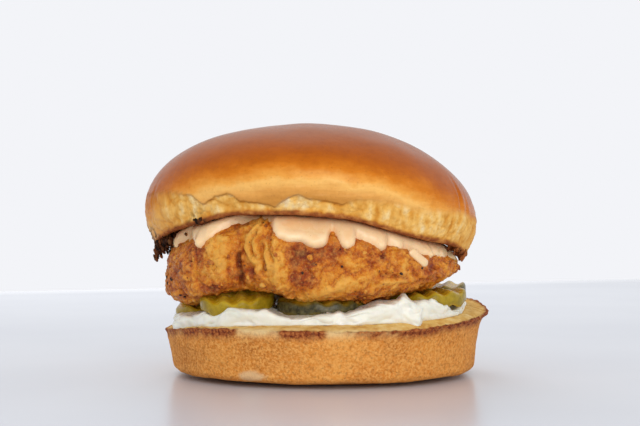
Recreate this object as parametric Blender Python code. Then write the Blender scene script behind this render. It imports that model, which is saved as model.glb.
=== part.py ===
"""A crispy chicken sandwich on a brioche bun.

Metres, +Z up, the front at -Y, the origin on the table under the middle of the sandwich.
Layers from the bottom: bun heel, mayonnaise, crinkle-cut pickles, fried fillet, sauce, bun top.
"""

import math

import bmesh
import bpy
import numpy as np

MM = 0.001
GAP = 0.3 * MM  # left open between two pieces that touch

# Bottom bun: a shallow round loaf, cut on an uneven slant
HEEL_CENTRE_X = 1.1 * MM
HEEL_BASE_RADIUS = 49.4 * MM  # just above the round corner
HEEL_CORNER = 3.8 * MM
HEEL_RIM_RADIUS = 51.7 * MM
HEEL_HEIGHT = 17.8 * MM
HEEL_SLOPE = 0.0625  # rise of the cut towards +X
HEEL_DOME = 1.8 * MM  # how far the cut face stands above its rim
HEEL_DOME_POWER = 12  # the higher, the closer to the rim it falls away
HEEL_BEND_POWER = 4  # how late the cut face bends to the uneven rim
HEEL_CORNER_STATIONS = (0, 30, 60, 90)  # degrees round the corner
HEEL_WALL_STATIONS = (0.45, 0.8, 1.0)
HEEL_FACE_STATIONS = (0.97, 0.91, 0.82, 0.6, 0.3)  # shares of the rim's radius
# Height of the rim all round, (angle, z)
RIM = (
    (-180, 14.4), (-135, 17.2), (-115, 17.5), (-90, 17.2), (-60, 17.4), (-40, 18.7), (-20, 19.8),
    (0, 21.2), (22, 23.2), (60, 21.8), (95, 19.2), (140, 16.2),
)
RIM_BLUR = math.radians(7)
LIP_FLARE = 2.3 * MM  # the rim turns outwards at +X
LIP_POWER = 6  # how late up the wall it turns

# Top bun: a dome that sags over both ends of the fillet
TOP_CENTRE_X = -3.0 * MM
TOP_HALF_WIDTH = 54.5 * MM
TOP_HALF_DEPTH = 53.0 * MM
TOP_APEX = 81.9 * MM
TOP_TUCK = 3.0 * MM  # the wall draws in by this much towards its lower edge
TOP_EDGE_ROUND = 1.6 * MM
SHOULDER_HEIGHT = 63.5 * MM  # the widest line, at its highest
SHOULDER_X = -8.0 * MM
SHOULDER_SAG = 4.2  # per metre: fall of the widest line with the square of the distance
DOME_POWER = 2.1
DOME_POWER_CHANGE = 0.1  # rounder by this much at +X, squarer at -X
TOP_UNDER_STATIONS = (0.35, 0.65, 0.85, 1.0)
TOP_WALL_STATIONS = (0, 0.35, 0.7, 1.0)
TOP_DOME_STATIONS = (0.985, 0.94, 0.86, 0.74, 0.57, 0.36, 0.16)  # shares of the widest radius
# Lower face of the top bun, (x, z)
ARCH = (
    (-57.5, 38.0), (-53, 40.8), (-48.5, 46.0), (-38, 49.4), (-27, 52.1), (-8, 52.2),
    (9, 50.8), (18, 48.3), (30, 44.8), (41, 42.8), (45.5, 41.0), (48, 38.0), (53, 37.0),
)
ARCH_BLUR = 3.0 * MM

# Fried fillet
FILLET_CENTRE = (-3.0 * MM, -1.2 * MM)
FILLET_HALF_WIDTH = 47.5 * MM
FILLET_HALF_DEPTH = 46.0 * MM
FILLET_PLAN_POWER = 2.25
FILLET_EDGE_ABOVE = 0.34  # the lower, the squarer its section
FILLET_EDGE_BELOW = 0.44
FILLET_STATIONS = (76, 60, 46, 34, 23, 13, 4, -6, -17, -30, -44, -60, -76)  # degrees round its section
TOP_CLEARANCE = 0.035  # the fillet's top follows the arch as if it were this much narrower
BELLY_BLUR = 2.5 * MM
# Lower face of the fillet, (x, z)
BELLY = (
    (-51, 26.5), (-41, 24.2), (-31, 27.4), (-20, 29.0), (-10, 26.2), (2, 24.4),
    (14, 24.4), (25, 27.0), (36, 29.0), (46, 33.0),
)
# Swellings and hollows of its side: angle, level from -1 to 1, width in degrees, height share, size
LOBES = (
    (-118, 0.0, 5, 1.4, -3.0), (-136, -0.1, 13, 0.9, 1.4), (-104, 0.2, 6, 0.7, 0.8),
    (-88, -0.2, 10, 0.6, 1.3), (-62, 0.0, 12, 0.8, 0.9), (-34, 0.3, 8, 0.5, -1.8),
    (-16, 0.1, 8, 0.7, 0.6), (18, -0.1, 11, 0.8, 0.8), (47, 0.0, 6, 1.2, -2.4),
    (76, 0.1, 14, 0.8, 1.4), (104, -0.2, 6, 1.1, -2.2), (131, 0.1, 13, 0.8, 1.5),
    (165, -0.3, 9, 0.6, 1.2), (-172, 0.4, 7, 0.5, -1.2),
)

# Sauce over the fillet
SAUCE_LIFT = 0.85 * MM  # between the fillet's crust and the skin of sauce
SAUCE_ON_TOP = 1.3 * MM
SAUCE_AT_EDGE = 2.1 * MM
SAUCE_REACH = -2.0 * MM  # how far its edge runs past the fillet's outline, where nothing drips
SAUCE_EDGE_WIDTH = 12.0 * MM  # the thicker margin
SAUCE_END_LIFT = 1.7 * MM  # the outermost ring turns off the crust
SAUCE_END_THICKNESS = 1.05 * MM
SAUCE_STATIONS = 7  # rings across the skin, the last one on its edge
SAUCE_CROWDING = 0.025  # least spacing of two rings, as a share of the reach
# Drips and bare stretches: angle, extra reach, width in degrees
DRIPS = (
    (-133, 8.0, 9), (-112, -5.5, 8), (-93, 8.6, 10), (-75, 6.0, 6), (-60, 5.6, 6), (-41, 5.2, 9),
    (-17, 3.0, 8), (8, 5.6, 8), (30, -2.5, 8), (52, 6.0, 8), (74, 2.5, 8), (98, 7.0, 9),
    (122, -2.0, 9), (142, 5.5, 8), (163, 6.4, 8), (-174, 2.5, 8), (-154, 4.5, 8),
)

# Mayonnaise on the cut face of the bottom bun
MAYO_CENTRE_X = 0.5 * MM
MAYO_HALF_WIDTH = 47.2 * MM
MAYO_HALF_DEPTH = 44.2 * MM
MAYO_THICKNESS = 3.7 * MM
MAYO_PLAN_POWER = 2.3
# Its section from below: share of the plan, share of the thickness
MAYO_SECTION = (
    (0.45, 0), (0.8, 0), (0.975, 0), (1, 0.25), (1, 0.62), (0.965, 0.93), (0.85, 1), (0.6, 1), (0.3, 1),
)
MAYO_SWIRL = 0.5 * MM  # height of the waves in its top
MAYO_SWIRL_ARMS = 3
MAYO_SWIRL_TWIST = 14  # radians from the middle to the edge
MAYO_WAVES = ((5, 0.9, 0.6), (9, 0.6, 0.0))  # of its outline: waves in a turn, height, phase
# Humps that the filling pressed out: x, y, radius, height
MAYO_HUMPS = (
    (15, -42, 7, 2.0), (26, -41, 4, 3.6), (-22, -42, 9, 0.8), (2, -42, 4, 1.0),
    (38, 30, 8, 2.0), (-12, 40, 8, 2.2), (-41, 20, 7, 1.8),
)

# Crinkle-cut pickles: x, y, z of the middle, radius, tilt about X, tilt about Y, turn (degrees)
PICKLES = (
    ("pickle_far_left", -34.0, -6.0, 21.4, 13.0, 2, -4, 12),
    ("pickle_left", -26.0, -27.0, 25.7, 11.5, 14, -5, 4),
    ("pickle_middle", 0.8, -26.0, 23.3, 14.7, 0, 1, 35),
    ("pickle_right", 33.0, -17.0, 25.3, 13.5, 0, -3, 8),
    ("pickle_right_back", 36.0, 10.2, 26.1, 13.0, 2, -3, -10),
    ("pickle_back", -5.0, 25.0, 24.0, 14.4, 1, 0, 140),
)
PICKLE_THICKNESS = 4.4 * MM
CRINKLE_HEIGHT = 0.75 * MM
CRINKLE_LENGTH = 5.6 * MM
CRINKLE_STEPS = 4  # edges along one wave
SLICE_END = 0.12  # half the width of a slice's short end edges, as a share of its radius

BUN_SIDES = 46
MAYO_SIDES = 60
FILLET_SIDES = 72
ROOM_SIDES = 32
BLUR_STEPS = 7  # samples of a running mean
SHARP_EDGE = math.radians(50)


def clear_scene():
    for found in list(bpy.data.objects):
        bpy.data.objects.remove(found, do_unlink=True)


def make_material(name, colour, roughness):
    """Principled finish: colour, roughness, and no metal."""
    material = bpy.data.materials.new(name)
    material.use_nodes = True
    shader = material.node_tree.nodes["Principled BSDF"]
    shader.inputs["Base Color"].default_value = (*colour, 1.0)
    shader.inputs["Roughness"].default_value = roughness
    shader.inputs["Metallic"].default_value = 0.0
    material.diffuse_color = (*colour, 1.0)
    return material


def finish_object(name, bm, material):
    """Turn the bmesh into a named object, faces outwards and smooth."""
    bmesh.ops.recalc_face_normals(bm, faces=bm.faces)
    mesh = bpy.data.meshes.new(name)
    bm.to_mesh(mesh)
    bm.free()
    mesh.shade_smooth()
    mesh.set_sharp_from_angle(angle=SHARP_EDGE)
    made = bpy.data.objects.new(name, mesh)
    made.data.materials.append(material)
    bpy.context.collection.objects.link(made)
    return made


def ring_body(name, rings, first, last, material):
    """Closed body: a band of quads from each ring to the next, and a fan at each end."""
    bm = bmesh.new()
    loops = [[bm.verts.new(point) for point in ring] for ring in rings]
    for lower, upper in zip(loops, loops[1:]):
        for i in range(len(lower)):
            j = (i + 1) % len(lower)
            bm.faces.new((lower[i], lower[j], upper[j], upper[i]))
    for loop, end in ((loops[0], bm.verts.new(first)), (loops[-1], bm.verts.new(last))):
        for i in range(len(loop)):
            bm.faces.new((loop[i], loop[(i + 1) % len(loop)], end))
    return finish_object(name, bm, material)


def angles(sides):
    return np.linspace(-math.pi, math.pi, sides, endpoint=False)


def bell(angle, middle, width):
    """1 at the middle angle, falling to 0 on both sides, all the way round."""
    apart = (angle - math.radians(middle) + math.pi) % (2 * math.pi) - math.pi
    return np.exp(-((apart / math.radians(width)) ** 2))


def outline(points, x, blur):
    """Height at x along a line through the points, its corners rounded by a running mean."""
    at, height = np.array(points).T * MM
    steps = np.linspace(-blur, blur, BLUR_STEPS)
    return np.mean([np.interp(x + step, at, height) for step in steps], axis=0)


def round_plan(angle, half_width, half_depth, power):
    """Radius of a superellipse in plan."""
    return (np.abs(np.cos(angle) / half_width) ** power + np.abs(np.sin(angle) / half_depth) ** power) ** (
        -1 / power
    )


def arch(x):
    """Lower face of the top bun."""
    return outline(ARCH, x, ARCH_BLUR)


def rim_height(turn):
    """Height of the cut's rim at this angle round the bottom bun, its corners rounded by a running mean."""
    at, height = np.array(RIM).T
    levels = [
        np.interp(turn + step, np.radians(at), height * MM, period=2 * math.pi)
        for step in np.linspace(-RIM_BLUR, RIM_BLUR, BLUR_STEPS)
    ]
    return np.mean(levels, axis=0)


def cut_face(x, y):
    """Cut face of the bottom bun: a slanted plane that bends to meet the uneven rim."""
    turn = np.arctan2(y, x - HEEL_CENTRE_X)
    share = np.hypot(x - HEEL_CENTRE_X, y) / HEEL_RIM_RADIUS
    rim_off_plane = rim_height(turn) - HEEL_HEIGHT - HEEL_SLOPE * HEEL_RIM_RADIUS * np.cos(turn)
    dome = HEEL_DOME * np.clip(1 - share**HEEL_DOME_POWER, 0, 1)
    return HEEL_HEIGHT + HEEL_SLOPE * (x - HEEL_CENTRE_X) + rim_off_plane * share**HEEL_BEND_POWER + dome


def bottom_bun(material):
    """Flat base, a round corner, a wall that leans out, a flared lip and the cut face."""
    turn = angles(BUN_SIDES)
    flare = LIP_FLARE * np.maximum(np.cos(turn), 0)
    rings = []
    for lift in np.radians(HEEL_CORNER_STATIONS):
        radius = HEEL_BASE_RADIUS - HEEL_CORNER * (1 - math.sin(lift))
        rings.append((radius + 0 * turn, HEEL_CORNER * (1 - math.cos(lift)) + 0 * turn))
    for share in HEEL_WALL_STATIONS:
        radius = HEEL_BASE_RADIUS + share * (HEEL_RIM_RADIUS - HEEL_BASE_RADIUS) + flare * share**LIP_POWER
        rings.append((radius, HEEL_CORNER + share * (rim_height(turn) - HEEL_CORNER)))
    rim_radius = rings[-1][0]
    for share in HEEL_FACE_STATIONS:
        radius = share * rim_radius
        rings.append((radius, cut_face(HEEL_CENTRE_X + radius * np.cos(turn), radius * np.sin(turn))))
    points = [
        np.stack((HEEL_CENTRE_X + radius * np.cos(turn), radius * np.sin(turn), level), axis=-1)
        for radius, level in rings
    ]
    middle = (HEEL_CENTRE_X, 0, float(cut_face(HEEL_CENTRE_X, 0)))
    return ring_body("bottom_bun", points, (HEEL_CENTRE_X, 0, 0), middle, material)


def top_bun(material):
    """Arched lower face, a wall that tucks under, and a dome whose widest line sags at the ends."""
    turn = angles(BUN_SIDES)
    widest = round_plan(turn, TOP_HALF_WIDTH, TOP_HALF_DEPTH, 2)
    power = DOME_POWER - DOME_POWER_CHANGE * np.cos(turn)
    shoulder_at = TOP_CENTRE_X + widest * np.cos(turn)
    shoulder = SHOULDER_HEIGHT - SHOULDER_SAG * (shoulder_at - SHOULDER_X) ** 2
    foot = widest - TOP_TUCK
    rings = []
    for share in TOP_UNDER_STATIONS:
        radius = share * (foot - TOP_EDGE_ROUND)
        x = TOP_CENTRE_X + radius * np.cos(turn)
        rings.append((radius, arch(x)))
    low = arch(TOP_CENTRE_X + foot * np.cos(turn)) + TOP_EDGE_ROUND
    for share in TOP_WALL_STATIONS:
        rings.append((foot + TOP_TUCK * math.sin(share * math.pi / 2), low + share * (shoulder - low)))
    for share in TOP_DOME_STATIONS:
        rings.append((share * widest, shoulder + (TOP_APEX - shoulder) * (1 - share**power) ** (1 / power)))
    points = [
        np.stack((TOP_CENTRE_X + radius * np.cos(turn), radius * np.sin(turn), level), axis=-1)
        for radius, level in rings
    ]
    centre = (TOP_CENTRE_X, 0, float(arch(TOP_CENTRE_X)))
    return ring_body("top_bun", points, centre, (TOP_CENTRE_X, 0, TOP_APEX), material)


def fillet_top(x):
    """Upper face of the fillet, under the sauce and the top bun."""
    further_out = x + TOP_CLEARANCE * (x - TOP_CENTRE_X)
    return arch(further_out) - SAUCE_ON_TOP - SAUCE_LIFT - GAP


def fillet_belly(x):
    return outline(BELLY, x, BELLY_BLUR)


def fillet_rings():
    """Superellipse section from the top middle, round the lumpy side, to the bottom middle."""
    turn = angles(FILLET_SIDES)
    reach = round_plan(turn, FILLET_HALF_WIDTH, FILLET_HALF_DEPTH, FILLET_PLAN_POWER)
    rings = []
    for lift in np.radians(FILLET_STATIONS):
        power = FILLET_EDGE_ABOVE if lift > 0 else FILLET_EDGE_BELOW
        level = math.copysign(abs(math.sin(lift)) ** power, lift)
        share = math.cos(lift) ** power
        bulge = sum(
            size * MM * bell(turn, angle, width) * math.exp(-(((level - height) / spread) ** 2))
            for angle, height, width, spread, size in LOBES
        )
        radius = share * (reach + bulge)
        x = FILLET_CENTRE[0] + radius * np.cos(turn)
        y = FILLET_CENTRE[1] + radius * np.sin(turn)
        high, low = fillet_top(x), fillet_belly(x)
        rings.append(np.stack((x, y, (high + low) / 2 + level * (high - low) / 2), axis=-1))
    return np.stack(rings)


def fillet(rings, material):
    x, y = FILLET_CENTRE
    top = (x, y, float(fillet_top(x)))
    bottom = (x, y, float(fillet_belly(x)))
    return ring_body("chicken_fillet", rings, top, bottom, material)


def surface_normals(grid):
    """Unit normals of a grid of rings that closes on itself round each ring."""
    along = np.gradient(grid, axis=0)
    around = np.roll(grid, -1, axis=1) - np.roll(grid, 1, axis=1)
    normal = np.cross(along, around)
    return normal / np.linalg.norm(normal, axis=-1, keepdims=True)


def sauce(rings, material):
    """Skin over the fillet's upper side: its lower face follows the fillet, and its edge runs in drips."""
    turn = angles(FILLET_SIDES)
    x, y = FILLET_CENTRE
    middle = np.array((x, y, float(fillet_top(x))))
    normals = surface_normals(rings)
    steps = np.linalg.norm(np.diff(rings, axis=0), axis=-1)
    start = np.linalg.norm(rings[:1] - middle, axis=-1)
    run = np.cumsum(np.concatenate((start, steps)), axis=0)
    reach = round_plan(turn, FILLET_HALF_WIDTH, FILLET_HALF_DEPTH, FILLET_PLAN_POWER) + SAUCE_REACH
    reach = reach + sum(extra * MM * bell(turn, angle, width) for angle, extra, width in DRIPS)
    inner, outer = [], []
    for station in range(SAUCE_STATIONS):
        last = station == SAUCE_STATIONS - 1
        slack = (1 - (SAUCE_STATIONS - 1 - station) * SAUCE_CROWDING) * reach
        stop = slack if last else np.minimum(run[station], slack)
        at, facing = np.empty((2, FILLET_SIDES, 3))
        for column in range(FILLET_SIDES):
            for axis in range(3):
                at[column, axis] = np.interp(stop[column], run[:, column], rings[:, column, axis])
                facing[column, axis] = np.interp(stop[column], run[:, column], normals[:, column, axis])
        near_edge = np.clip(1 - (reach - stop) / SAUCE_EDGE_WIDTH, 0, 1)
        thick = SAUCE_ON_TOP + (SAUCE_AT_EDGE - SAUCE_ON_TOP) * near_edge
        lift = SAUCE_LIFT
        if last:
            lift, thick = SAUCE_END_LIFT, SAUCE_END_THICKNESS + 0 * thick
        inner.append(at + facing * lift)
        outer.append(at + facing * (lift + thick)[:, None])
    under, over = middle + (0, 0, SAUCE_LIFT), middle + (0, 0, SAUCE_LIFT + SAUCE_ON_TOP)
    return ring_body("sauce", inner + outer[::-1], under, over, material)


def mayonnaise(material):
    """Spread layer: its lower face follows the cut face, its edge is round, its top carries humps."""
    turn = angles(MAYO_SIDES)
    plan = round_plan(turn, MAYO_HALF_WIDTH, MAYO_HALF_DEPTH, MAYO_PLAN_POWER)
    plan = plan + sum(height * MM * np.sin(waves * turn + phase) for waves, height, phase in MAYO_WAVES)

    def point(share, height):
        x = MAYO_CENTRE_X + share * plan * np.cos(turn)
        y = share * plan * np.sin(turn)
        swirl = MAYO_SWIRL * np.sin(MAYO_SWIRL_ARMS * turn + MAYO_SWIRL_TWIST * share) * share
        humps = sum(
            size * MM * np.exp(-((x - at_x * MM) ** 2 + (y - at_y * MM) ** 2) / (radius * MM) ** 2)
            for at_x, at_y, radius, size in MAYO_HUMPS
        )
        thick = (MAYO_THICKNESS + swirl + humps) * height
        return np.stack((x, y, cut_face(x, y) + GAP + thick), axis=-1)

    rings = [point(share, height) for share, height in MAYO_SECTION]
    floor = float(cut_face(MAYO_CENTRE_X, 0)) + GAP
    bottom = (MAYO_CENTRE_X, 0, floor)
    return ring_body("mayonnaise", rings, bottom, (MAYO_CENTRE_X, 0, floor + MAYO_THICKNESS), material)


def crinkle_disc(name, radius, material):
    """Round slice whose two faces carry the same waves, so the slice keeps its thickness."""
    steps = 2 * round(CRINKLE_STEPS * radius / CRINKLE_LENGTH)
    even = np.linspace(-1, 1, steps + 1)
    crowded = np.sin(even * math.pi / 2)  # closer together towards the two ends
    across = radius * (2 * even + crowded) / 3
    half = np.sqrt(np.clip(radius**2 - across**2, (SLICE_END * radius) ** 2, None))
    wave = CRINKLE_HEIGHT * np.sin(2 * math.pi * across / CRINKLE_LENGTH)
    bm = bmesh.new()
    corners = [
        [bm.verts.new((a, side * h, w + face * PICKLE_THICKNESS / 2)) for a, h, w in zip(across, half, wave)]
        for side, face in ((-1, -1), (1, -1), (1, 1), (-1, 1))
    ]
    for line, next_line in zip(corners, corners[1:] + corners[:1]):
        for i in range(steps):
            bm.faces.new((line[i], next_line[i], next_line[i + 1], line[i + 1]))
    for end in (0, steps):
        bm.faces.new([line[end] for line in corners])
    return finish_object(name, bm, material)


def plain_disc(name, radius, thickness, material):
    """Flat round block that holds a whole slice, waves and all."""
    bm = bmesh.new()
    bmesh.ops.create_cone(
        bm, cap_ends=True, segments=ROOM_SIDES, radius1=radius, radius2=radius, depth=thickness
    )
    return finish_object(name, bm, material)


def place(item, x, y, z, tilt_x, tilt_y, turn):
    item.location = (x * MM, y * MM, z * MM)
    item.rotation_euler = (math.radians(tilt_x), math.radians(tilt_y), math.radians(turn))


def pickles(material):
    """The slices, and for each a slightly larger block that makes room for it in its neighbours."""
    rooms = []
    room_thickness = PICKLE_THICKNESS + 2 * (CRINKLE_HEIGHT + GAP)
    for name, x, y, z, radius, tilt_x, tilt_y, turn in PICKLES:
        chip = crinkle_disc(name, radius * MM, material)
        room = plain_disc("room_for_" + name, radius * MM + 2 * GAP, room_thickness, material)
        for item in (chip, room):
            place(item, x, y, z, tilt_x, tilt_y, turn)
        room.hide_render = True
        room.display_type = "WIRE"
        rooms.append(room)
    return rooms


def cut(item, cutters):
    for cutter in cutters:
        room = item.modifiers.new(cutter.name, "BOOLEAN")
        room.operation = "DIFFERENCE"
        room.solver = "EXACT"
        room.object = cutter


def build():
    clear_scene()
    crust = make_material("brioche_crust", (0.52, 0.20, 0.045), 0.35)
    side = make_material("bun_side", (0.60, 0.26, 0.07), 0.6)
    cream = make_material("mayonnaise_white", (0.84, 0.80, 0.68), 0.3)
    green = make_material("pickle_green", (0.30, 0.26, 0.03), 0.25)
    fried = make_material("fried_crust", (0.50, 0.19, 0.035), 0.45)
    pink = make_material("sauce_pink", (0.88, 0.52, 0.27), 0.25)
    bottom_bun(side)
    spread = mayonnaise(cream)
    rooms = pickles(green)
    rings = fillet_rings()
    meat = fillet(rings, fried)
    sauce(rings, pink)
    top_bun(crust)
    cut(spread, rooms)
    cut(meat, rooms)


build()
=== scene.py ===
import math

import bpy
import numpy as np
from mathutils import Euler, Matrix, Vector


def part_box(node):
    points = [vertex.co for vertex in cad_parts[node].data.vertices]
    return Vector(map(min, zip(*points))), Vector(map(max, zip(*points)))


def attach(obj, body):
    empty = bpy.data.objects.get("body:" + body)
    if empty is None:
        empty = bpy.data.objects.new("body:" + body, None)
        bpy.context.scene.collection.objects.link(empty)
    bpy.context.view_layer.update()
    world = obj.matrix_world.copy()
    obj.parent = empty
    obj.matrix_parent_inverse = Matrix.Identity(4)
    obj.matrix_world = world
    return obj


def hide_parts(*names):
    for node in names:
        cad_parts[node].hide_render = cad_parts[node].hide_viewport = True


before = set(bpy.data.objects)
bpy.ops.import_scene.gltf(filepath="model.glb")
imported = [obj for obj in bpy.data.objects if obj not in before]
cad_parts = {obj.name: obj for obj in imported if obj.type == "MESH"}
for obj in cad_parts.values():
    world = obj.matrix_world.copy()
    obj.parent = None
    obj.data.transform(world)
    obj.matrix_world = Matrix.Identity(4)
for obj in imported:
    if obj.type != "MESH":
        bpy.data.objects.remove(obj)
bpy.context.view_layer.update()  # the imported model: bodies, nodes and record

mm = 0.001  # every shape below is worked out in millimetres


def nodeBox(node):
    # lowest and highest corner of a CAD node, in millimetres
    low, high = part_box(node)
    return np.array(low) / mm, np.array(high) / mm


# driving sizes, read from the frame
heelLow, heelHigh = nodeBox("bottom_bun")
rimRadius = (heelHigh[1] - heelLow[1]) / 2
heelX = heelLow[0] + rimRadius
bunLow, bunHigh = nodeBox("top_bun")
bunX = (bunLow[0] + bunHigh[0]) / 2
bunHalfWidth = (bunHigh[0] - bunLow[0]) / 2
bunHalfDepth = (bunHigh[1] - bunLow[1]) / 2
bunTop = bunHigh[2]


def cellHash(cell, seed):
    # scrambles whole-number cell coordinates (last axis x, y, z) into values from 0 to 1
    mixed = (cell[..., 0] * 73856093) ^ (cell[..., 1] * 19349663) ^ (cell[..., 2] * 83492791)
    mixed = (mixed ^ (seed * 40503 + 977)) & 0xFFFFFFFF
    for _ in range(2):
        mixed = ((mixed ^ (mixed >> 15)) * 73244475) & 0xFFFFFFFF
    return (mixed ^ (mixed >> 16)) / 0xFFFFFFFF


def gradientNoise(points, size, seed=0):
    # a random slope in each corner of a grid of cells, blended by 6t^5 - 15t^4 + 10t^3; about -1 to 1
    scaled = points / size
    cell = np.floor(scaled).astype(np.int64)
    inside = scaled - cell
    fade = inside ** 3 * (inside * (inside * 6 - 15) + 10)
    total = np.zeros(points.shape[:-1])
    for step in np.ndindex(2, 2, 2):
        corner = np.array(step)
        slope = np.stack([cellHash(cell + corner, seed + k) for k in (0, 101, 202)], axis=-1) * 2 - 1
        weight = np.prod(np.where(corner, fade, 1 - fade), axis=-1)
        total += weight * np.sum(slope * (inside - corner), axis=-1)
    return total * 1.5


def cloud(points, size, octaves=3, seed=0):
    # gradient noise added up, each layer half the size and half the height of the one before
    size = np.asarray(size, dtype=float)
    return sum(gradientNoise(points, size / 2 ** k, seed + 17 * k) / 2 ** k for k in range(octaves))


def cellDistances(points, size, seed=0):
    # one random point per cell: distances to the nearest two, and the nearest one's own value
    scaled = points / size
    cell = np.floor(scaled).astype(np.int64)
    first = np.full(points.shape[:-1], 9.0)
    second = np.full(points.shape[:-1], 9.0)
    value = np.zeros(points.shape[:-1])
    for step in np.ndindex(3, 3, 3):
        other = cell + np.array(step) - 1
        spot = other + np.stack([cellHash(other, seed + k) for k in (7, 38, 69)], axis=-1)
        apart = np.linalg.norm(scaled - spot, axis=-1)
        closer = apart < first
        second = np.where(closer, first, np.minimum(second, apart))
        value = np.where(closer, cellHash(other, seed + 93), value)
        first = np.where(closer, apart, first)
    return first, second, value


def smoothStep(low, high, value):
    # 0 below low, 1 above high, 3t^2 - 2t^3 between
    t = np.clip((value - low) / (high - low), 0, 1)
    return t * t * (3 - 2 * t)


def bell(value, width):
    # 1 at zero, falling off as exp(-(value / width)^2)
    return np.exp(-((value / width) ** 2))


def runningMean(place, height, at, blur, period=None):
    # height along a line, its corners rounded by the mean of 7 places within blur
    steps = np.linspace(-blur, blur, 7)
    return np.mean([np.interp(at + step, place, height, period=period) for step in steps], axis=0)


def blurredLine(line, at, blur):
    # the same for a line given as (place, height) points
    return runningMean(*np.array(line, dtype=float).T, at, blur)


def ringLine(line, theta, blur=4.0):
    # the same round a circle: points are (degrees, value), blur is in degrees
    return runningMean(*np.array(line, dtype=float).T, np.degrees(theta), blur, 360)


def superellipse(theta, halfWidth, halfDepth, power):
    # radius at theta of |x / a|^p + |y / b|^p = 1
    flat = np.abs(np.cos(theta) / halfWidth) ** power + np.abs(np.sin(theta) / halfDepth) ** power
    return flat ** (-1 / power)


def signedPower(value, power):
    # |value|^power with the sign of value
    return np.sign(value) * np.abs(value) ** power


def ringAngles(columns):
    # angles round a ring, from -pi
    return np.linspace(-np.pi, np.pi, columns, endpoint=False)[None, :]


def degreesFrom(theta, angle):
    # degrees from that angle, the shorter way round
    return (np.degrees(theta) - angle + 180) % 360 - 180


def rowsTo(start, stop, rows):
    # one value for each row, from start up to stop, which is left to the next row
    return np.linspace(start, stop, rows, endpoint=False)[:, None]


def rowsInwards(rows, power):
    # shares of the radius from the rim inwards: 1 - 0.97 t^power
    return (1 - np.linspace(0, 1, rows + 1) ** power * 0.97)[1:, None]


def ringPoints(radius, theta, height, centre=0.0):
    # points of rings about x = centre: x = centre + r cos, y = r sin
    x, y = centre + radius * np.cos(theta), radius * np.sin(theta)
    return np.stack(np.broadcast_arrays(x, y, height), axis=-1)


def joinRows(theta, *parts):
    # rows of a grid one after another, each made as wide as theta
    return np.concatenate([part + 0 * theta for part in parts])


def gridNormals(grid):
    # outward unit normals of a grid of rings that runs from the bottom up: step round the ring x step up
    around = np.roll(grid, -1, axis=1) - np.roll(grid, 1, axis=1)
    along = np.gradient(grid, axis=0)
    normal = np.cross(around, along)
    return normal / np.maximum(np.linalg.norm(normal, axis=-1, keepdims=True), 1e-9)


def makePiece(name, points, faces, material, node, values=None):
    # points in millimetres, faces as rows of four corner numbers (-1 where a face has three)
    mesh = bpy.data.meshes.new(name)
    mesh.vertices.add(len(points))
    mesh.vertices.foreach_set("co", (points * mm).astype(np.float32).ravel())
    corners = (faces >= 0).sum(axis=1)
    mesh.loops.add(int(corners.sum()))
    mesh.loops.foreach_set("vertex_index", faces[faces >= 0].astype(np.int32))
    mesh.polygons.add(len(faces))
    mesh.polygons.foreach_set("loop_start", (np.cumsum(corners) - corners).astype(np.int32))
    mesh.update(calc_edges=True)
    mesh.validate()
    mesh.shade_smooth()
    for label, value in (values or {}).items():
        layer = mesh.attributes.new(label, "FLOAT", "POINT")
        layer.data.foreach_set("value", value.astype(np.float32).ravel())
    mesh.materials.append(material)
    piece = bpy.data.objects.new(name, mesh)
    bpy.context.scene.collection.objects.link(piece)
    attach(piece, "root")
    if node:
        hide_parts(node)
    print(name, len(points), "points,", len(faces), "faces")
    return piece


def closedFaces(rows, columns):
    # quads between neighbouring rings, closed round each, and a fan of triangles to a pole at either end
    number = np.arange(rows * columns).reshape(rows, columns)
    beside = np.roll(number, -1, axis=1)
    quads = np.stack((number[:-1], beside[:-1], beside[1:], number[1:]), axis=-1).reshape(-1, 4)
    pole, blank = np.full(columns, rows * columns), np.full(columns, -1)
    lowFan = np.stack((beside[0], number[0], pole, blank), axis=-1)
    highFan = np.stack((number[-1], beside[-1], pole + 1, blank), axis=-1)
    return np.concatenate((quads, lowFan, highFan))


def closedBody(name, grid, material, node, values=None):
    # rings from the bottom up, closed to the middle of the first and of the last ring
    points = np.concatenate((grid.reshape(-1, 3), [grid[0].mean(axis=0), grid[-1].mean(axis=0)]))
    poleValues = {
        label: np.concatenate((value.ravel(), [value[0].mean(), value[-1].mean()]))
        for label, value in (values or {}).items()
    }
    return makePiece(name, points, closedFaces(*grid.shape[:2]), material, node, poleValues)


def colour(code):
    # "c8843f" as linear red, green, blue and alpha
    parts = [int(code[k:k + 2], 16) / 255 for k in (0, 2, 4)]
    return tuple(p / 12.92 if p <= 0.04045 else ((p + 0.055) / 1.055) ** 2.4 for p in parts) + (1.0,)


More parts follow.
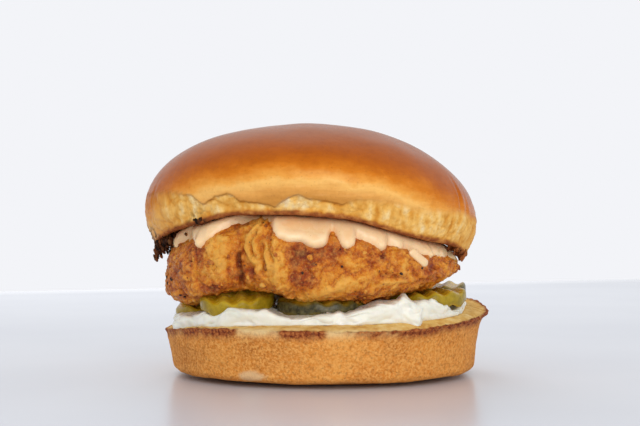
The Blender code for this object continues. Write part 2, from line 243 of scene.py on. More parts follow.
class Finish:
    # a Principled material and short ways to add nodes to it

    def __init__(self, name, **sockets):
        self.material = bpy.data.materials.new(name)
        self.material.use_nodes = True
        self.tree = self.material.node_tree
        self.shader = self.tree.nodes["Principled BSDF"]
        self.place = self.add("ShaderNodeTexCoord").outputs["Object"]
        for label, value in sockets.items():
            self.shader.inputs[label.replace("_", " ")].default_value = value

    def add(self, kind, links=None, **settings):
        made = self.tree.nodes.new(kind)
        for label, value in settings.items():
            setattr(made, label, value)
        for label, value in (links or {}).items():
            self.join(value, made.inputs[label])
        return made

    def join(self, value, socket):
        if isinstance(value, bpy.types.NodeSocket):
            self.tree.links.new(value, socket)
        else:
            socket.default_value = value

    def value(self, name):
        return self.add("ShaderNodeAttribute", attribute_name=name).outputs["Fac"]

    def noise(self, size, detail, rough, stretch=None):
        # noise whose largest blobs are size millimetres across, stretched along x, y and z
        place = self.place
        if stretch:
            squeeze = [1 / s for s in stretch]
            place = self.add("ShaderNodeMapping", {"Vector": place, "Scale": squeeze}).outputs[0]
        links = {"Vector": place, "Scale": 1 / (size * mm), "Detail": detail, "Roughness": rough}
        return self.add("ShaderNodeTexNoise", links).outputs["Fac"]

    def cells(self, size):
        # distance to the nearest of scattered points about size millimetres apart
        links = {"Vector": self.place, "Scale": 1 / (size * mm)}
        return self.add("ShaderNodeTexVoronoi", links).outputs["Distance"]

    def ramp(self, factor, stops):
        # colours along a factor: stops are (place, code)
        made = self.add("ShaderNodeValToRGB", {"Fac": factor})
        line = made.color_ramp
        while len(line.elements) < len(stops):
            line.elements.new(0.5)
        for element, (place, code) in zip(line.elements, stops):
            element.position = place
            element.color = colour(code)
        return made.outputs["Color"]

    def scale(self, factor, low, high, toLow=0.0, toHigh=1.0):
        # a value from one range to another, held at its ends
        made = self.add("ShaderNodeMapRange", {"Value": factor, "From Min": low, "From Max": high})
        made.inputs["To Min"].default_value = toLow
        made.inputs["To Max"].default_value = toHigh
        return made.outputs["Result"]

    def math(self, kind, first, second):
        made = self.add("ShaderNodeMath", operation=kind)
        self.join(first, made.inputs[0])
        self.join(second, made.inputs[1])
        return made.outputs[0]

    def mix(self, factor, first, second, blend="MIX"):
        made = self.add("ShaderNodeMix", data_type="RGBA", blend_type=blend)
        for socket, value in ((0, factor), (6, first), (7, second)):
            self.join(colour(value) if isinstance(value, str) else value, made.inputs[socket])
        return made.outputs[2]

    def tint(self, look, code, mask, strength, blend="MIX"):
        # another colour over the look, as far as mask times strength
        return self.mix(self.math("MULTIPLY", mask, strength), look, code, blend)

    def bump(self, height, depth, strength, below=None):
        # relief of that depth in millimetres
        links = {"Height": height, "Distance": depth * mm, "Strength": strength}
        if below is not None:
            links["Normal"] = below
        return self.add("ShaderNodeBump", links).outputs["Normal"]

    def set(self, **links):
        for label, value in links.items():
            self.join(value, self.shader.inputs[label.replace("_", " ")])
        return self.material


topBun = {
    "columns": 560,
    "undersideRows": 14,
    "edgeRows": 6,
    "wallRows": 60,
    "domeRows": 52,
    "tuck": 3.0,  # the wall draws in towards its lower edge
    "edgeRound": 1.6,
    "shoulderHeight": 63.5,  # the widest line, at its highest
    "shoulderX": -8.0,
    "shoulderSag": 0.0042,  # fall of the widest line with the square of the distance
    "domePower": 2.1,
    "arch": [  # lower face, (x, z)
        (-57.5, 40.8), (-53, 42.6), (-48.5, 46.4), (-38, 49.4), (-27, 52.1), (-8, 52.2),
        (9, 50.8), (18, 48.3), (30, 44.8), (41, 42.8), (45.5, 41.0), (48, 38.0), (53, 37.0),
    ],
    "archBlur": 3.0,
    "crack": [  # height above the lower edge where the crust ends and the crumb shows, (degrees, height)
        (-180, 15.5), (-167, 16.0), (-145, 12.0), (-132, 8.6), (-128.5, 5.2), (-122.7, 6.8), (-116.3, 6.6),
        (-114.7, 4.6), (-108, 3.9), (-102, 2.4), (-98.9, 4.4), (-94.6, 6.5), (-90, 5.4), (-85, 5.2),
        (-79.7, 4.4), (-72, 7.4), (-63, 8.7), (-47, 9.3), (-35, 10.4), (-17, 12.0), (0, 13.0),
        (30, 10.0), (48, 7.0), (60, 4.0), (74, 6.5), (88, 3.2), (104, 5.5), (118, 3.0), (132, 7.0),
        (150, 11.0),
    ],
    "ripple": 0.45,
    "rippleSize": 4.5,
    "openness": [  # how deep the crumb lies behind the crust's edge, (degrees, 0 to 1)
        (-180, 0.15), (-145, 0.3), (-130, 0.8), (-98, 0.8), (-84, 0.7), (-72, 0.25), (-45, 0.0), (-15, 0.1),
        (20, 0.2), (60, 0.8), (100, 0.8), (140, 0.4),
    ],
    "streaks": [  # how far the crumb is drawn out into upright fibres, (degrees, 0 to 1)
        (-180, 0.4), (-140, 0.35), (-125, 0.25), (-80, 0.2), (-66, 0.6), (-20, 0.7), (10, 0.5), (90, 0.2),
    ],
    "paleness": [  # of the crumb, (degrees, 0 to 1)
        (-180, 0.30), (-155, 0.46), (-143, 0.64), (-128, 0.64), (-108, 0.58), (-95, 1.0), (-84, 0.52),
        (-72, 0.58), (-60, 0.68), (-40, 0.66), (-25, 0.62), (0, 0.55), (60, 0.5), (120, 0.5),
    ],
    "skin": [  # how far the crumb keeps the crust's own colour, (degrees, 0 to 1)
        (-180, 0.85), (-160, 0.80), (-150, 0.40), (-141, 0.0), (-32, 0.0), (-20, 0.15), (0, 0.4), (40, 0.1),
        (140, 0.1), (165, 0.6),
    ],
    "recess": 1.0,
    "lip": 0.35,
    "dents": 0.45,  # in the crust
    "dentSize": 26,
    "pillow": 0.9,  # rounded lumps of crumb
    "pillowSize": 5.2,
    "fibre": 0.24,
    "fibreSize": (2.0, 2.0, 7.0),
    "grain": 0.12,
    "brownEnds": 0.13,  # browner towards the two ends
    "creases": [  # upright folds of the crust: degrees, z, half height, depth
        (-28, 57.5, 4.5, 0.55), (-158, 55, 5.0, 0.4), (-24, 52, 4.0, 0.35), (36, 58, 5, 0.4),
    ],
    "creaseWidth": 0.9,  # degrees
    "creaseLean": 0.25,  # degrees for each millimetre up
    "charred": [  # dark crumbs at the lower edge: degrees, height, width in degrees, strength
        (-168, 2.5, 7, 0.9), (-133, 0.7, 5, 0.9), (-176, 6.0, 5, 0.4), (172, 3.0, 12, 0.8),
        (60, 1.0, 10, 0.5),
    ],
    "charredLift": 0.7,
}


def arch(x):
    # height of the top bun's lower face
    return blurredLine(topBun["arch"], x, topBun["archBlur"])


def makeTopBun(material):
    # arched underside, rounded edge, a wall that leans out as sin, and a superellipse dome;
    # the crust ends at the crack, and below it the crumb is set back and lumpy
    s = topBun
    theta = ringAngles(s["columns"])
    widest = superellipse(theta, bunHalfWidth, bunHalfDepth, 2)
    power = s["domePower"] - 0.1 * np.cos(theta)
    shoulder = s["shoulderHeight"] - s["shoulderSag"] * (bunX + widest * np.cos(theta) - s["shoulderX"]) ** 2
    foot = widest - s["tuck"]
    flat = foot - s["edgeRound"]
    low = arch(bunX + foot * np.cos(theta))

    share = rowsTo(0.03, 1, s["undersideRows"])
    turn = rowsTo(0, np.pi / 2, s["edgeRows"])
    wall = rowsTo(0, 1, s["wallRows"])
    lift = np.linspace(0, np.pi / 2 - 0.03, s["domeRows"])[:, None]
    edge = s["edgeRound"]
    radius = joinRows(
        theta,
        share * flat,
        flat + edge * np.sin(turn),
        foot + s["tuck"] * np.sin(wall * np.pi / 2),
        np.cos(lift) ** (2 / power) * widest,
    )
    height = joinRows(
        theta,
        arch(bunX + share * flat * np.cos(theta)),
        arch(bunX + (flat + edge * np.sin(turn)) * np.cos(theta)) + edge * (1 - np.cos(turn)),
        low + edge + wall * (shoulder - low - edge),
        shoulder + (bunTop - shoulder) * np.sin(lift) ** (2 / power),
    )
    grid = ringPoints(radius, theta, height, bunX)
    normal = gridNormals(grid)
    rise = height - low
    row = np.arange(len(grid))[:, None]
    beneath = (row < s["undersideRows"]) * np.ones_like(rise)

    plan = ringPoints(foot, theta, 0.0)
    crack = ringLine(s["crack"], theta, 1.2)
    crack = crack + s["ripple"] * cloud(plan, s["rippleSize"], 3, 3) + 0.3 * gradientNoise(plan, 1.1, 9)
    opening = ringLine(s["openness"], theta)
    streaky = ringLine(s["streaks"], theta)
    skin = ringLine(s["skin"], theta)
    past = rise - crack  # above zero on the crust
    crust = smoothStep(-0.25 - 2.4 * (1 - opening), 0.25 + 0.6 * (1 - opening), past)
    crumb = 1 - crust
    ledge = smoothStep(0.3, 2.2, rise) * (1 - beneath)  # 0 at the lower edge

    dents = s["dents"] * cloud(grid, s["dentSize"], 2, 5) * smoothStep(4, 12, past)
    lip = s["lip"] * opening * bell(past - 0.7, 1.4)
    wrinkles = 0.13 * cloud(grid, (6, 6, 1.3), 2, 21) * bell(past - 2, 5)
    for angle, middle, tall, deep in s["creases"]:
        aside = np.degrees(theta) - angle - s["creaseLean"] * (height - middle)
        wrinkles = wrinkles - deep * bell(aside, s["creaseWidth"]) * bell(height - middle, tall)
        wrinkles = wrinkles + 0.5 * deep * bell(np.abs(aside) - 2.2, 1.4) * bell(height - middle, tall)
    nearest, second, tone = cellDistances(grid + 1.1 * cloud(grid, 4, 2, 41)[..., None], s["pillowSize"], 13)
    pillows = s["pillow"] * (0.55 - nearest ** 2) - 0.3 * bell(second - nearest, 0.12)
    fibres = cloud(grid, s["fibreSize"], 3, 31)
    grain = s["grain"] * cloud(grid, 1.1, 2, 51)
    setBack = s["recess"] * opening * smoothStep(0, 1.1, -past)
    torn = pillows * (1 - 0.75 * streaky) + s["fibre"] * fibres * streaky + grain - setBack
    underside = 0.35 * cloud(grid, 3.0, 3, 61) + 0.2 * gradientNoise(grid, 1.0, 62)
    ragged = 0.25 * cloud(grid, 1.6, 2, 71) * bell(rise - 0.8, 1.6)
    outward = crust * (dents + lip + wrinkles) + crumb * torn * ledge + ragged * (1 - beneath)
    outward = np.where(beneath > 0, np.minimum(underside, 0.3), outward)
    char = np.zeros_like(rise)
    for angle, level, wide, strength in s["charred"]:
        char = char + strength * bell(degreesFrom(theta, angle), wide) * bell(rise - level, 2.4)
    char = char * smoothStep(-0.05, 0.35, cloud(grid, 2.2, 3, 81))
    outward = outward + s["charredLift"] * char * (0.4 + cloud(grid, 1.4, 2, 83))

    grid = grid + normal * outward[..., None]
    baked = (height - shoulder) / (bunTop - shoulder) + s["brownEnds"] * np.abs(np.cos(theta)) ** 3
    # the crumb is painted paler on its raised lumps and fibres and darker in the grooves between them:
    # painted light and shade
    pale = ringLine(s["paleness"], theta) + 0.28 * fibres + 0.34 * (pillows - 0.25) * (1 - streaky)
    pale = pale + 0.16 * (tone - 0.5) - 0.26 * smoothStep(2.4, 0.5, rise)
    values = {
        "baked": baked + 0.035 * cloud(grid, 16, 3, 91) * crust,
        "crumb": crumb * (1 - beneath) * (1 - skin),
        "pale": np.clip(pale, 0, 1),
        "crack": bell(past + 0.25, 0.35) * np.maximum(opening, 0.9 * skin),
        "toasted": beneath + (1 - beneath) * smoothStep(1.9, 0.7, rise + 0.5 * cloud(grid, 2.5, 2, 92)),
        "char": np.clip(char, 0, 1),
    }
    return closedBody("top_bun_bread", grid, material, "top_bun", values)


def briocheCrust():
    # egg-washed crust from gold at its foot to deep brown on top, pale torn crumb with painted shade between
    # its lumps, toasted underside
    f = Finish("eggWashedBrioche", Specular_IOR_Level=0.12)
    mottle = f.scale(f.noise(9, 5, 0.65), 0.3, 0.7, -0.055, 0.055)
    streak = f.scale(f.noise(3, 4, 0.65, (2.5, 2.5, 0.7)), 0.3, 0.7, -0.035, 0.035)
    level = f.math("ADD", f.value("baked"), f.math("ADD", mottle, streak))
    crust = f.ramp(f.scale(level, -0.35, 0.85), [
        (0.0, "d08f40"), (0.13, "e8a552"), (0.23, "fabf68"), (0.31, "efa345"), (0.42, "d67b1c"),
        (0.54, "be6208"), (0.66, "b05704"), (0.82, "a8550e"), (1.0, "a05724"),
    ])
    # small dark dots at the crust's pores: painted shade
    pores = f.scale(f.cells(1.3), 0.0, 0.22, 1.0, 0.0)
    crust = f.tint(crust, "8a4a1a", pores, 0.26, "MULTIPLY")
    freckles = f.scale(f.noise(2.6, 6, 0.75), 0.45, 0.68)
    crust = f.tint(crust, "83380c", freckles, f.scale(level, 0.1, 0.7, 0.12, 0.34))
    # the crumb's paleness also carries the painted shade between its lumps
    torn = f.ramp(f.value("pale"), [
        (0.0, "93500e"), (0.22, "c27524"), (0.42, "e09c3e"), (0.65, "f4bf66"), (0.85, "fbd894"),
        (1.0, "ffe8b8"),
    ])
    speck = f.scale(f.noise(1.2, 3, 0.6), 0.45, 0.7)
    torn = f.tint(torn, "b97a2b", speck, 0.4)
    look = f.mix(f.value("crumb"), crust, torn)
    look = f.tint(look, "955810", f.value("crack"), 0.75)
    toast = f.ramp(f.noise(3.5, 4, 0.65), [(0.3, "743a1c"), (0.5, "a05a2c"), (0.7, "cf8f48")])
    look = f.mix(f.value("toasted"), look, toast)
    look = f.mix(f.value("char"), look, "21140e")
    soft = f.math("MAXIMUM", f.value("crumb"), f.math("MAXIMUM", f.value("toasted"), f.value("crack")))
    rough = f.scale(soft, 0, 1, 0.24, 0.85)
    fine = f.bump(f.noise(0.9, 3, 0.6), 0.12, 0.5)
    wrinkle = f.bump(f.noise(2.2, 3, 0.6, (2.2, 2.2, 0.6)), 0.10, 0.5, fine)
    return f.set(Base_Color=look, Roughness=rough, Normal=wrinkle)


bottomBun = {
    "columns": 560,
    "baseRows": 10,
    "cornerRows": 10,
    "wallRows": 44,
    "faceRows": 46,
    "baseRadius": rimRadius - 2.3,
    "corner": 3.8,
    "undercut": 1.2,  # rise of the underside towards its edge
    "slope": 0.0625,  # rise of the cut towards +X
    "height": 17.8,
    "dome": 1.8,
    "domePower": 12,
    "flare": 2.3,  # how far the lip leans out towards +X
    "flarePower": 6,
    "rim": [  # height of the rim, (degrees, z)
        (-180, 14.4), (-135, 17.2), (-115, 17.5), (-90, 17.2), (-60, 17.4), (-40, 18.7), (-20, 19.8),
        (0, 21.2), (22, 23.2), (60, 21.8), (95, 19.2), (140, 16.2),
    ],
    "rimBlur": 7.0,
    "ragged": 0.3,
    "lumps": 0.35,
    "lumpSize": 14,
    "ledge": 0.5,  # how far the toasted rim stands proud
    "toast": [  # how dark the rim is, (degrees, 0 to 1)
        (-180, 0.7), (-150, 0.7), (-143, 0.95), (-123, 0.95), (-120, 0.1), (-106, 0.2), (-103.5, 0.95),
        (-90.5, 0.95), (-89, 0.15), (-81, 0.3), (-77, 0.75), (-71, 0.75), (-66, 0.55), (-62, 1.0), (-50, 1.0),
        (-45, 0.85), (-20, 0.9), (10, 0.95), (40, 0.6), (60, 0.9), (75, 0.2), (90, 0.8), (118, 0.9),
        (130, 0.3), (150, 0.8),
    ],
    "toastDepth": 2.2,
    "paleSpot": (-20.5, 3.4, 4.2, 1.6),  # x, z, half width, half height of a paler patch near the base
}


def rimHeight(theta):
    return ringLine(bottomBun["rim"], theta, bottomBun["rimBlur"])


def cutFace(x, y):
    # the slanted cut: a plane that bends by share^4 to the uneven rim, with a dome that falls away at the rim
    s = bottomBun
    theta = np.arctan2(y, x - heelX)
    share = np.hypot(x - heelX, y) / rimRadius
    offPlane = rimHeight(theta) - s["height"] - s["slope"] * rimRadius * np.cos(theta)
    dome = s["dome"] * np.clip(1 - share ** s["domePower"], 0, 1)
    return s["height"] + s["slope"] * (x - heelX) + offPlane * share ** 4 + dome


def makeBottomBun(material):
    # flat base, a quarter-round corner, a wall that leans out and flares by a power of its height,
    # a ragged rim, the cut face
    s = bottomBun
    theta = ringAngles(s["columns"])
    flare = s["flare"] * np.maximum(np.cos(theta), 0)
    rim = rimHeight(theta)
    base = s["baseRadius"]
    share = rowsTo(0.05, 1, s["baseRows"])
    turn = rowsTo(0, np.pi / 2, s["cornerRows"])
    wall = np.linspace(0, 1, s["wallRows"])[:, None]
    inward = rowsInwards(s["faceRows"], 1.7)
    rimAt = rimRadius + flare
    faceX = heelX + inward * rimAt * np.cos(theta)
    faceY = inward * rimAt * np.sin(theta)
    radius = joinRows(
        theta,
        share * (base - s["corner"]),
        base - s["corner"] * (1 - np.sin(turn)),
        base + wall * (rimRadius - base) + flare * wall ** s["flarePower"],
        inward * rimAt,
    )
    height = joinRows(
        theta,
        s["undercut"] * smoothStep(0.8, 1, share),
        s["undercut"] + (s["corner"] - s["undercut"]) * (1 - np.cos(turn)),
        s["corner"] + wall * (rim - s["corner"]),
        cutFace(faceX, faceY),
    )
    grid = ringPoints(radius, theta, height, heelX)
    normal = gridNormals(grid)
    row = np.arange(len(grid))[:, None]
    onFace = (row >= len(grid) - s["faceRows"]) * np.ones_like(height)
    onBase = (row < s["baseRows"]) * np.ones_like(height)
    toRim = np.where(onFace > 0, rimAt - radius, rim - height)  # distance from the rim
    toast = ringLine(s["toast"], theta, 1.0)
    toast = np.clip(toast + 0.35 * cloud(grid, 3.0, 3, 11), 0, 1)

    lumps = s["lumps"] * cloud(grid, s["lumpSize"], 3, 12) + 0.10 * cloud(grid, 1.3, 2, 13)
    ragged = s["ragged"] * cloud(grid, 1.7, 3, 14) * bell(toRim, 1.6) * (0.5 + toast)
    ledge = s["ledge"] * toast * bell(toRim - 0.2, 0.9)
    crumbFace = (0.3 * cloud(grid, 3.5, 3, 15) + 0.14 * gradientNoise(grid, 1.1, 16)) * onFace
    outward = np.where(onFace > 0, crumbFace + ragged, lumps + ragged + ledge * 0.6)
    outward = outward * (1 - onBase) * smoothStep(0, 1.5, np.where(onFace > 0, 9, height))
    grid = grid + normal * outward[..., None]
    grid[..., 2] += np.where(onBase > 0, 0, 0.3 * cloud(grid, 1.8, 3, 17) * bell(toRim, 1.0))
    depth = s["toastDepth"] * (0.5 + 0.8 * toast)
    spotX, spotZ, spotWide, spotHigh = s["paleSpot"]
    away = np.hypot((grid[..., 0] - spotX) / spotWide, (grid[..., 2] - spotZ) / spotHigh)
    values = {
        "toast": toast * np.where(onFace > 0, bell(toRim, 1.1), bell(toRim, depth)),
        "face": onFace,
        "bare": (1 - toast) * bell(toRim, 1.8),
        "worn": (1 - smoothStep(0.6, 1.25, away + 0.3 * cloud(grid, 2.0, 2, 18))) * (grid[..., 1] < 0),
    }
    return closedBody("bottom_bun_bread", grid, material, "bottom_bun", values)


def heelCrust():
    # matt golden wall with a fine pale grain, toasted dark rim, golden cut face
    f = Finish("heelBread", Specular_IOR_Level=0.2)
    patches = f.noise(14, 4, 0.6)
    wall = f.ramp(patches, [(0.3, "c07027"), (0.5, "d88431"), (0.72, "e69841")])
    grain = f.scale(f.noise(0.8, 3, 0.7), 0.40, 0.62)
    wall = f.tint(wall, "f6b764", grain, 0.75)
    dark = f.scale(f.noise(1.1, 3, 0.7), 0.52, 0.68)
    wall = f.tint(wall, "96501c", dark, 0.55)
    face = f.ramp(f.noise(3.2, 4, 0.6), [(0.3, "c98f3f"), (0.5, "e3b766"), (0.75, "f3d595")])
    look = f.mix(f.value("face"), wall, face)
    look = f.tint(look, "f3d99f", f.value("bare"), 0.8)
    speck = f.scale(f.noise(0.9, 3, 0.7), 0.35, 0.62)
    burnt = f.ramp(speck, [(0.0, "5e2412"), (0.5, "93461f"), (1.0, "c0743a")])
    look = f.mix(f.scale(f.value("toast"), 0.15, 0.75), look, burnt)
    look = f.tint(look, "e8c494", f.value("worn"), 0.75)
    fine = f.bump(f.noise(0.8, 3, 0.7), 0.45, 1.0)
    coarse = f.bump(f.noise(2.6, 3, 0.6), 0.25, 0.5, fine)
    return f.set(Base_Color=look, Roughness=f.scale(f.value("toast"), 0, 1, 0.78, 0.6), Normal=coarse)


mayo = {
    "columns": 480,
    "underRows": 8,
    "edgeRows": 26,
    "topRows": 34,
    "centreX": 0.5,
    "halfWidth": 47.0,
    "halfDepth": 45.6,
    "planPower": 2.3,
    "thickness": 3.8,
    "thinnest": 0.8,
    "sunk": 0.15,  # into the cut face
    "waves": 0.9,
    "waveSize": 13,
    "folds": 0.6,
    "creases": 0.45,
    "edgePower": 0.7,  # of its round edge: the lower, the squarer
    "bead": 2.0,  # radius over which its edge rounds over
    "thinner": 1.5,  # by this much towards +X
    "bulges": [(-27, 12, 0.9), (-152, 16, 1.2), (-168, 10, 1.0)],  # degrees, width in degrees, further out
    "front": (-24, -37),  # y where the crest's line begins to count, and where it counts fully
    "crest": [  # top of the spread along its front edge, (x, z)
        (-46, 19.6), (-43.5, 20.6), (-38, 22.3), (-35.5, 23.3), (-34, 21.3), (-28.2, 23.6), (-25, 22.4),
        (-19, 22.2), (-16.4, 23.0), (-10, 20.9), (-2, 21.6), (4, 22.0), (5.5, 22.9), (7.5, 21.6),
        (12.7, 23.2), (18, 24.3), (21.5, 24.0), (24.0, 24.5), (25.2, 26.0), (26.4, 25.4), (28, 23.2),
        (33, 23.3), (35, 24.7), (37, 23.6), (43, 23.4), (46, 22.8),
    ],
    "runs": [  # where it has run down over the rim: degrees, width in degrees, further out, further down
        (-54, 2.6, 2.6, 1.9), (-157, 5, 1.6, 1.4), (-131, 6, 0.5, 0.3), (-78, 7, 0.6, 0.2),
        (62, 4, 2.2, 1.6), (121, 5, 2.4, 1.5), (20, 6, 1.5, 0.8), (172, 7, 1.6, 1.0),
    ],
}


def makeMayonnaise(material):
    # a disc on the cut face: flat underneath, a round edge as a half superellipse of the local thickness,
    # and a top whose height follows the crest in front and slow waves elsewhere
    s = mayo
    theta = ringAngles(s["columns"])
    plan = superellipse(theta, s["halfWidth"], s["halfDepth"], s["planPower"])
    ring = ringPoints(40, theta, 0.0)
    plan = plan + 0.6 * cloud(ring, 11, 3, 5) + 0.2 * gradientNoise(ring, 2.5, 6)
    for angle, wide, further in s["bulges"]:
        plan = plan + further * bell(degreesFrom(theta, angle), wide)
    runs = [bell(degreesFrom(theta, r[0]), r[1]) for r in s["runs"]]
    plan = plan + sum(r[2] * b for r, b in zip(s["runs"], runs))
    down = sum(r[3] * b for r, b in zip(s["runs"], runs))

    def thickness(x, y):
        front = smoothStep(*s["front"], y)
        waves = s["waves"] * cloud(np.stack((x, y, 0 * x), axis=-1), s["waveSize"], 3, 7)
        crest = blurredLine(s["crest"], x, 0.6) - cutFace(x, y * 0 - s["halfDepth"])
        plain = s["thickness"] + waves - s["thinner"] * smoothStep(22, 36, x)
        return np.maximum(plain * (1 - front) + (crest + 0.3 * waves) * front, s["thinnest"])

    bead = s["bead"]
    under = rowsTo(0.05, 1, s["underRows"])
    turn = np.linspace(-np.pi / 2, np.pi / 2, s["edgeRows"])[:, None]
    over = rowsInwards(s["topRows"], 0.8)
    inner = plan - bead
    soft = s["edgePower"]
    bulge = np.abs(np.cos(turn)) ** np.where(turn < 0, 0.25, soft)
    reach = joinRows(theta, under * inner, inner + bead * bulge, over * inner)
    upward = signedPower(np.sin(turn), soft)
    level = joinRows(theta, 0 * under, (upward + 1) / 2, 0 * over + 1)
    x = s["centreX"] + reach * np.cos(theta)
    y = reach * np.sin(theta)
    outer = smoothStep(inner - 1, plan, reach)
    high = thickness(x, y)
    z = cutFace(x, y) - s["sunk"] + level * (high + s["sunk"]) - down * outer * (1 - 0.4 * level)
    grid = np.stack((x, y, z), axis=-1)
    normal = gridNormals(grid)
    swirled = grid + 2.5 * cloud(grid, 8, 2, 8)[..., None]
    folds = s["folds"] * cloud(swirled, (8, 8, 2.6), 2, 9)
    crease = -s["creases"] * bell(gradientNoise(swirled, (9, 9, 2.6), 19), 0.09)
    grid = grid + normal * ((folds + crease) * smoothStep(0.02, 0.3, level))[..., None]
    return closedBody("mayonnaise_spread", grid, material, "mayonnaise")


def mayonnaiseWhite():
    # thick white emulsion, wet and slightly see-through
    f = Finish("mayonnaiseWhite", Subsurface_Weight=0.25, Subsurface_Scale=0.003, Specular_IOR_Level=0.45,
               Subsurface_Radius=(1.0, 0.8, 0.5))
    look = f.ramp(f.noise(7, 3, 0.5), [(0.3, "e8e7d5"), (0.7, "f8f6ea")])
    shine = f.scale(f.noise(4, 2, 0.5), 0.3, 0.7, 0.2, 0.36)
    return f.set(Base_Color=look, Roughness=shine, Normal=f.bump(f.noise(1.6, 3, 0.5), 0.08, 0.6))


pickles = {
    "columns": 150,
    "faceRows": 26,
    "edgeRows": 8,
    "thickness": 4.4,
    "wave": 0.55,
    "waveLength": 5.6,
    "edgeRound": 0.7,
    "uneven": 0.018,  # of the radius
    "seeds": 0.25,
    "rimDip": 0.35,
    "slices": {  # tilt about X, tilt about Y, turn about Z in degrees, droop of the front edge, dark peel, which on the middle and right back slices is also painted shade
        "pickle_far_left": (2, -4, 12, 0.3, 0.1),
        "pickle_left": (14, -5, 4, 0.0, 0.0),
        "pickle_middle": (0, 1, 35, 0.3, 1.0),
        "pickle_right": (0, -3, 8, 0.3, 0.1),
        "pickle_right_back": (2, -3, -10, 0.3, 0.9),
        "pickle_back": (1, 0, 140, 0.4, 0.3),
    },
}


def makePickle(node, material):
    # a round slice: both faces carry the wave sin(2 pi x / length), the rim is rounded, the edge droops
    s = pickles
    tiltX, tiltY, turn, droop, peel = s["slices"][node]
    low, high = nodeBox(node)
    middle = (low + high) / 2
    radius = (high[0] - low[0]) / 2
    theta = ringAngles(s["columns"])
    seed = int(radius * 10) + len(node)
    outline = radius * (1 + s["uneven"] * gradientNoise(ringPoints(radius, theta, 0.0), 9, seed))
    flat = outline - s["edgeRound"]
    share = rowsTo(0.04, 1, s["faceRows"]) ** 0.9
    turnUp = np.linspace(-np.pi / 2, np.pi / 2, s["edgeRows"])[:, None]
    reach = joinRows(theta, share * flat, flat + s["edgeRound"] * np.cos(turnUp), share[::-1] * flat)
    half = s["thickness"] / 2
    upward = signedPower(np.sin(turnUp), 0.4)
    level = joinRows(theta, 0 * share - 1, upward, 0 * share + 1)
    x = reach * np.cos(theta)
    y = reach * np.sin(theta)
    wave = s["wave"] * np.sin(2 * np.pi * x / s["waveLength"])
    sag = -droop * np.clip(reach / radius, 0, 1) ** 3 * np.clip(-np.sin(theta + np.radians(turn)), 0, 1)
    inner = np.clip(1 - reach / outline, 0, 1)
    seeds = s["seeds"] * cloud(np.stack((x, y, level * 3), axis=-1), 2.0, 2, seed + 3)
    seeds = seeds * smoothStep(0.15, 0.4, inner)
    z = wave + sag + level * (half + seeds - s["rimDip"] * bell(inner, 0.05))
    grid = np.stack((x, y, z), axis=-1)
    grid = grid @ np.array(Euler(np.radians((tiltX, tiltY, turn))).to_matrix()).T + middle
    outward = reach / outline + 0 * theta
    # the crest value also places the painted light and shade of the wave
    values = {"outward": outward, "crest": wave / s["wave"] * level, "peel": peel + 0 * outward}
    return closedBody(node + "_slice", grid, material, node, values)


def pickleGreen():
    # wet yellow-olive flesh, lighter on the crests of its wave and darker in the troughs as painted light and
    # shade, darker rind, pale core with seeds
    f = Finish("picklesInBrine", Subsurface_Weight=0.12, Subsurface_Scale=0.003, Specular_IOR_Level=0.25,
               Subsurface_Radius=(1.0, 0.9, 0.2))
    flesh = f.ramp(f.noise(4, 3, 0.6), [(0.3, "b08a14"), (0.5, "d4ac1c"), (0.72, "e6c83c")])
    # flesh lighter on the wave's crests and darker in its troughs: painted light and shade
    bands = f.scale(f.value("crest"), -1, 1)
    flesh = f.tint(flesh, "d8bd48", bands, 0.4)
    seeds = f.scale(f.cells(2.4), 0.12, 0.3, 1.0, 0.0)
    inside = f.scale(f.value("outward"), 0.35, 0.7, 1.0, 0.0)
    flesh = f.tint(flesh, "dccb7a", seeds, inside)
    rind = f.ramp(f.noise(2.2, 3, 0.6), [(0.3, "8c740e"), (0.7, "b89a22")])
    # the dark peel is partly the peel's colour and partly painted shade on the slices that lie in shade
    rind = f.mix(f.value("peel"), rind, f.ramp(f.noise(1.5, 3, 0.6), [(0.35, "2f2d1c"), (0.7, "6b6440")]))
    look = f.mix(f.scale(f.value("outward"), 0.90, 1.0), flesh, rind)
    shine = f.scale(f.noise(2, 2, 0.5), 0.3, 0.7, 0.14, 0.3)
    return f.set(Base_Color=look, Roughness=shine, Normal=f.bump(f.noise(0.8, 3, 0.6), 0.12, 0.7))


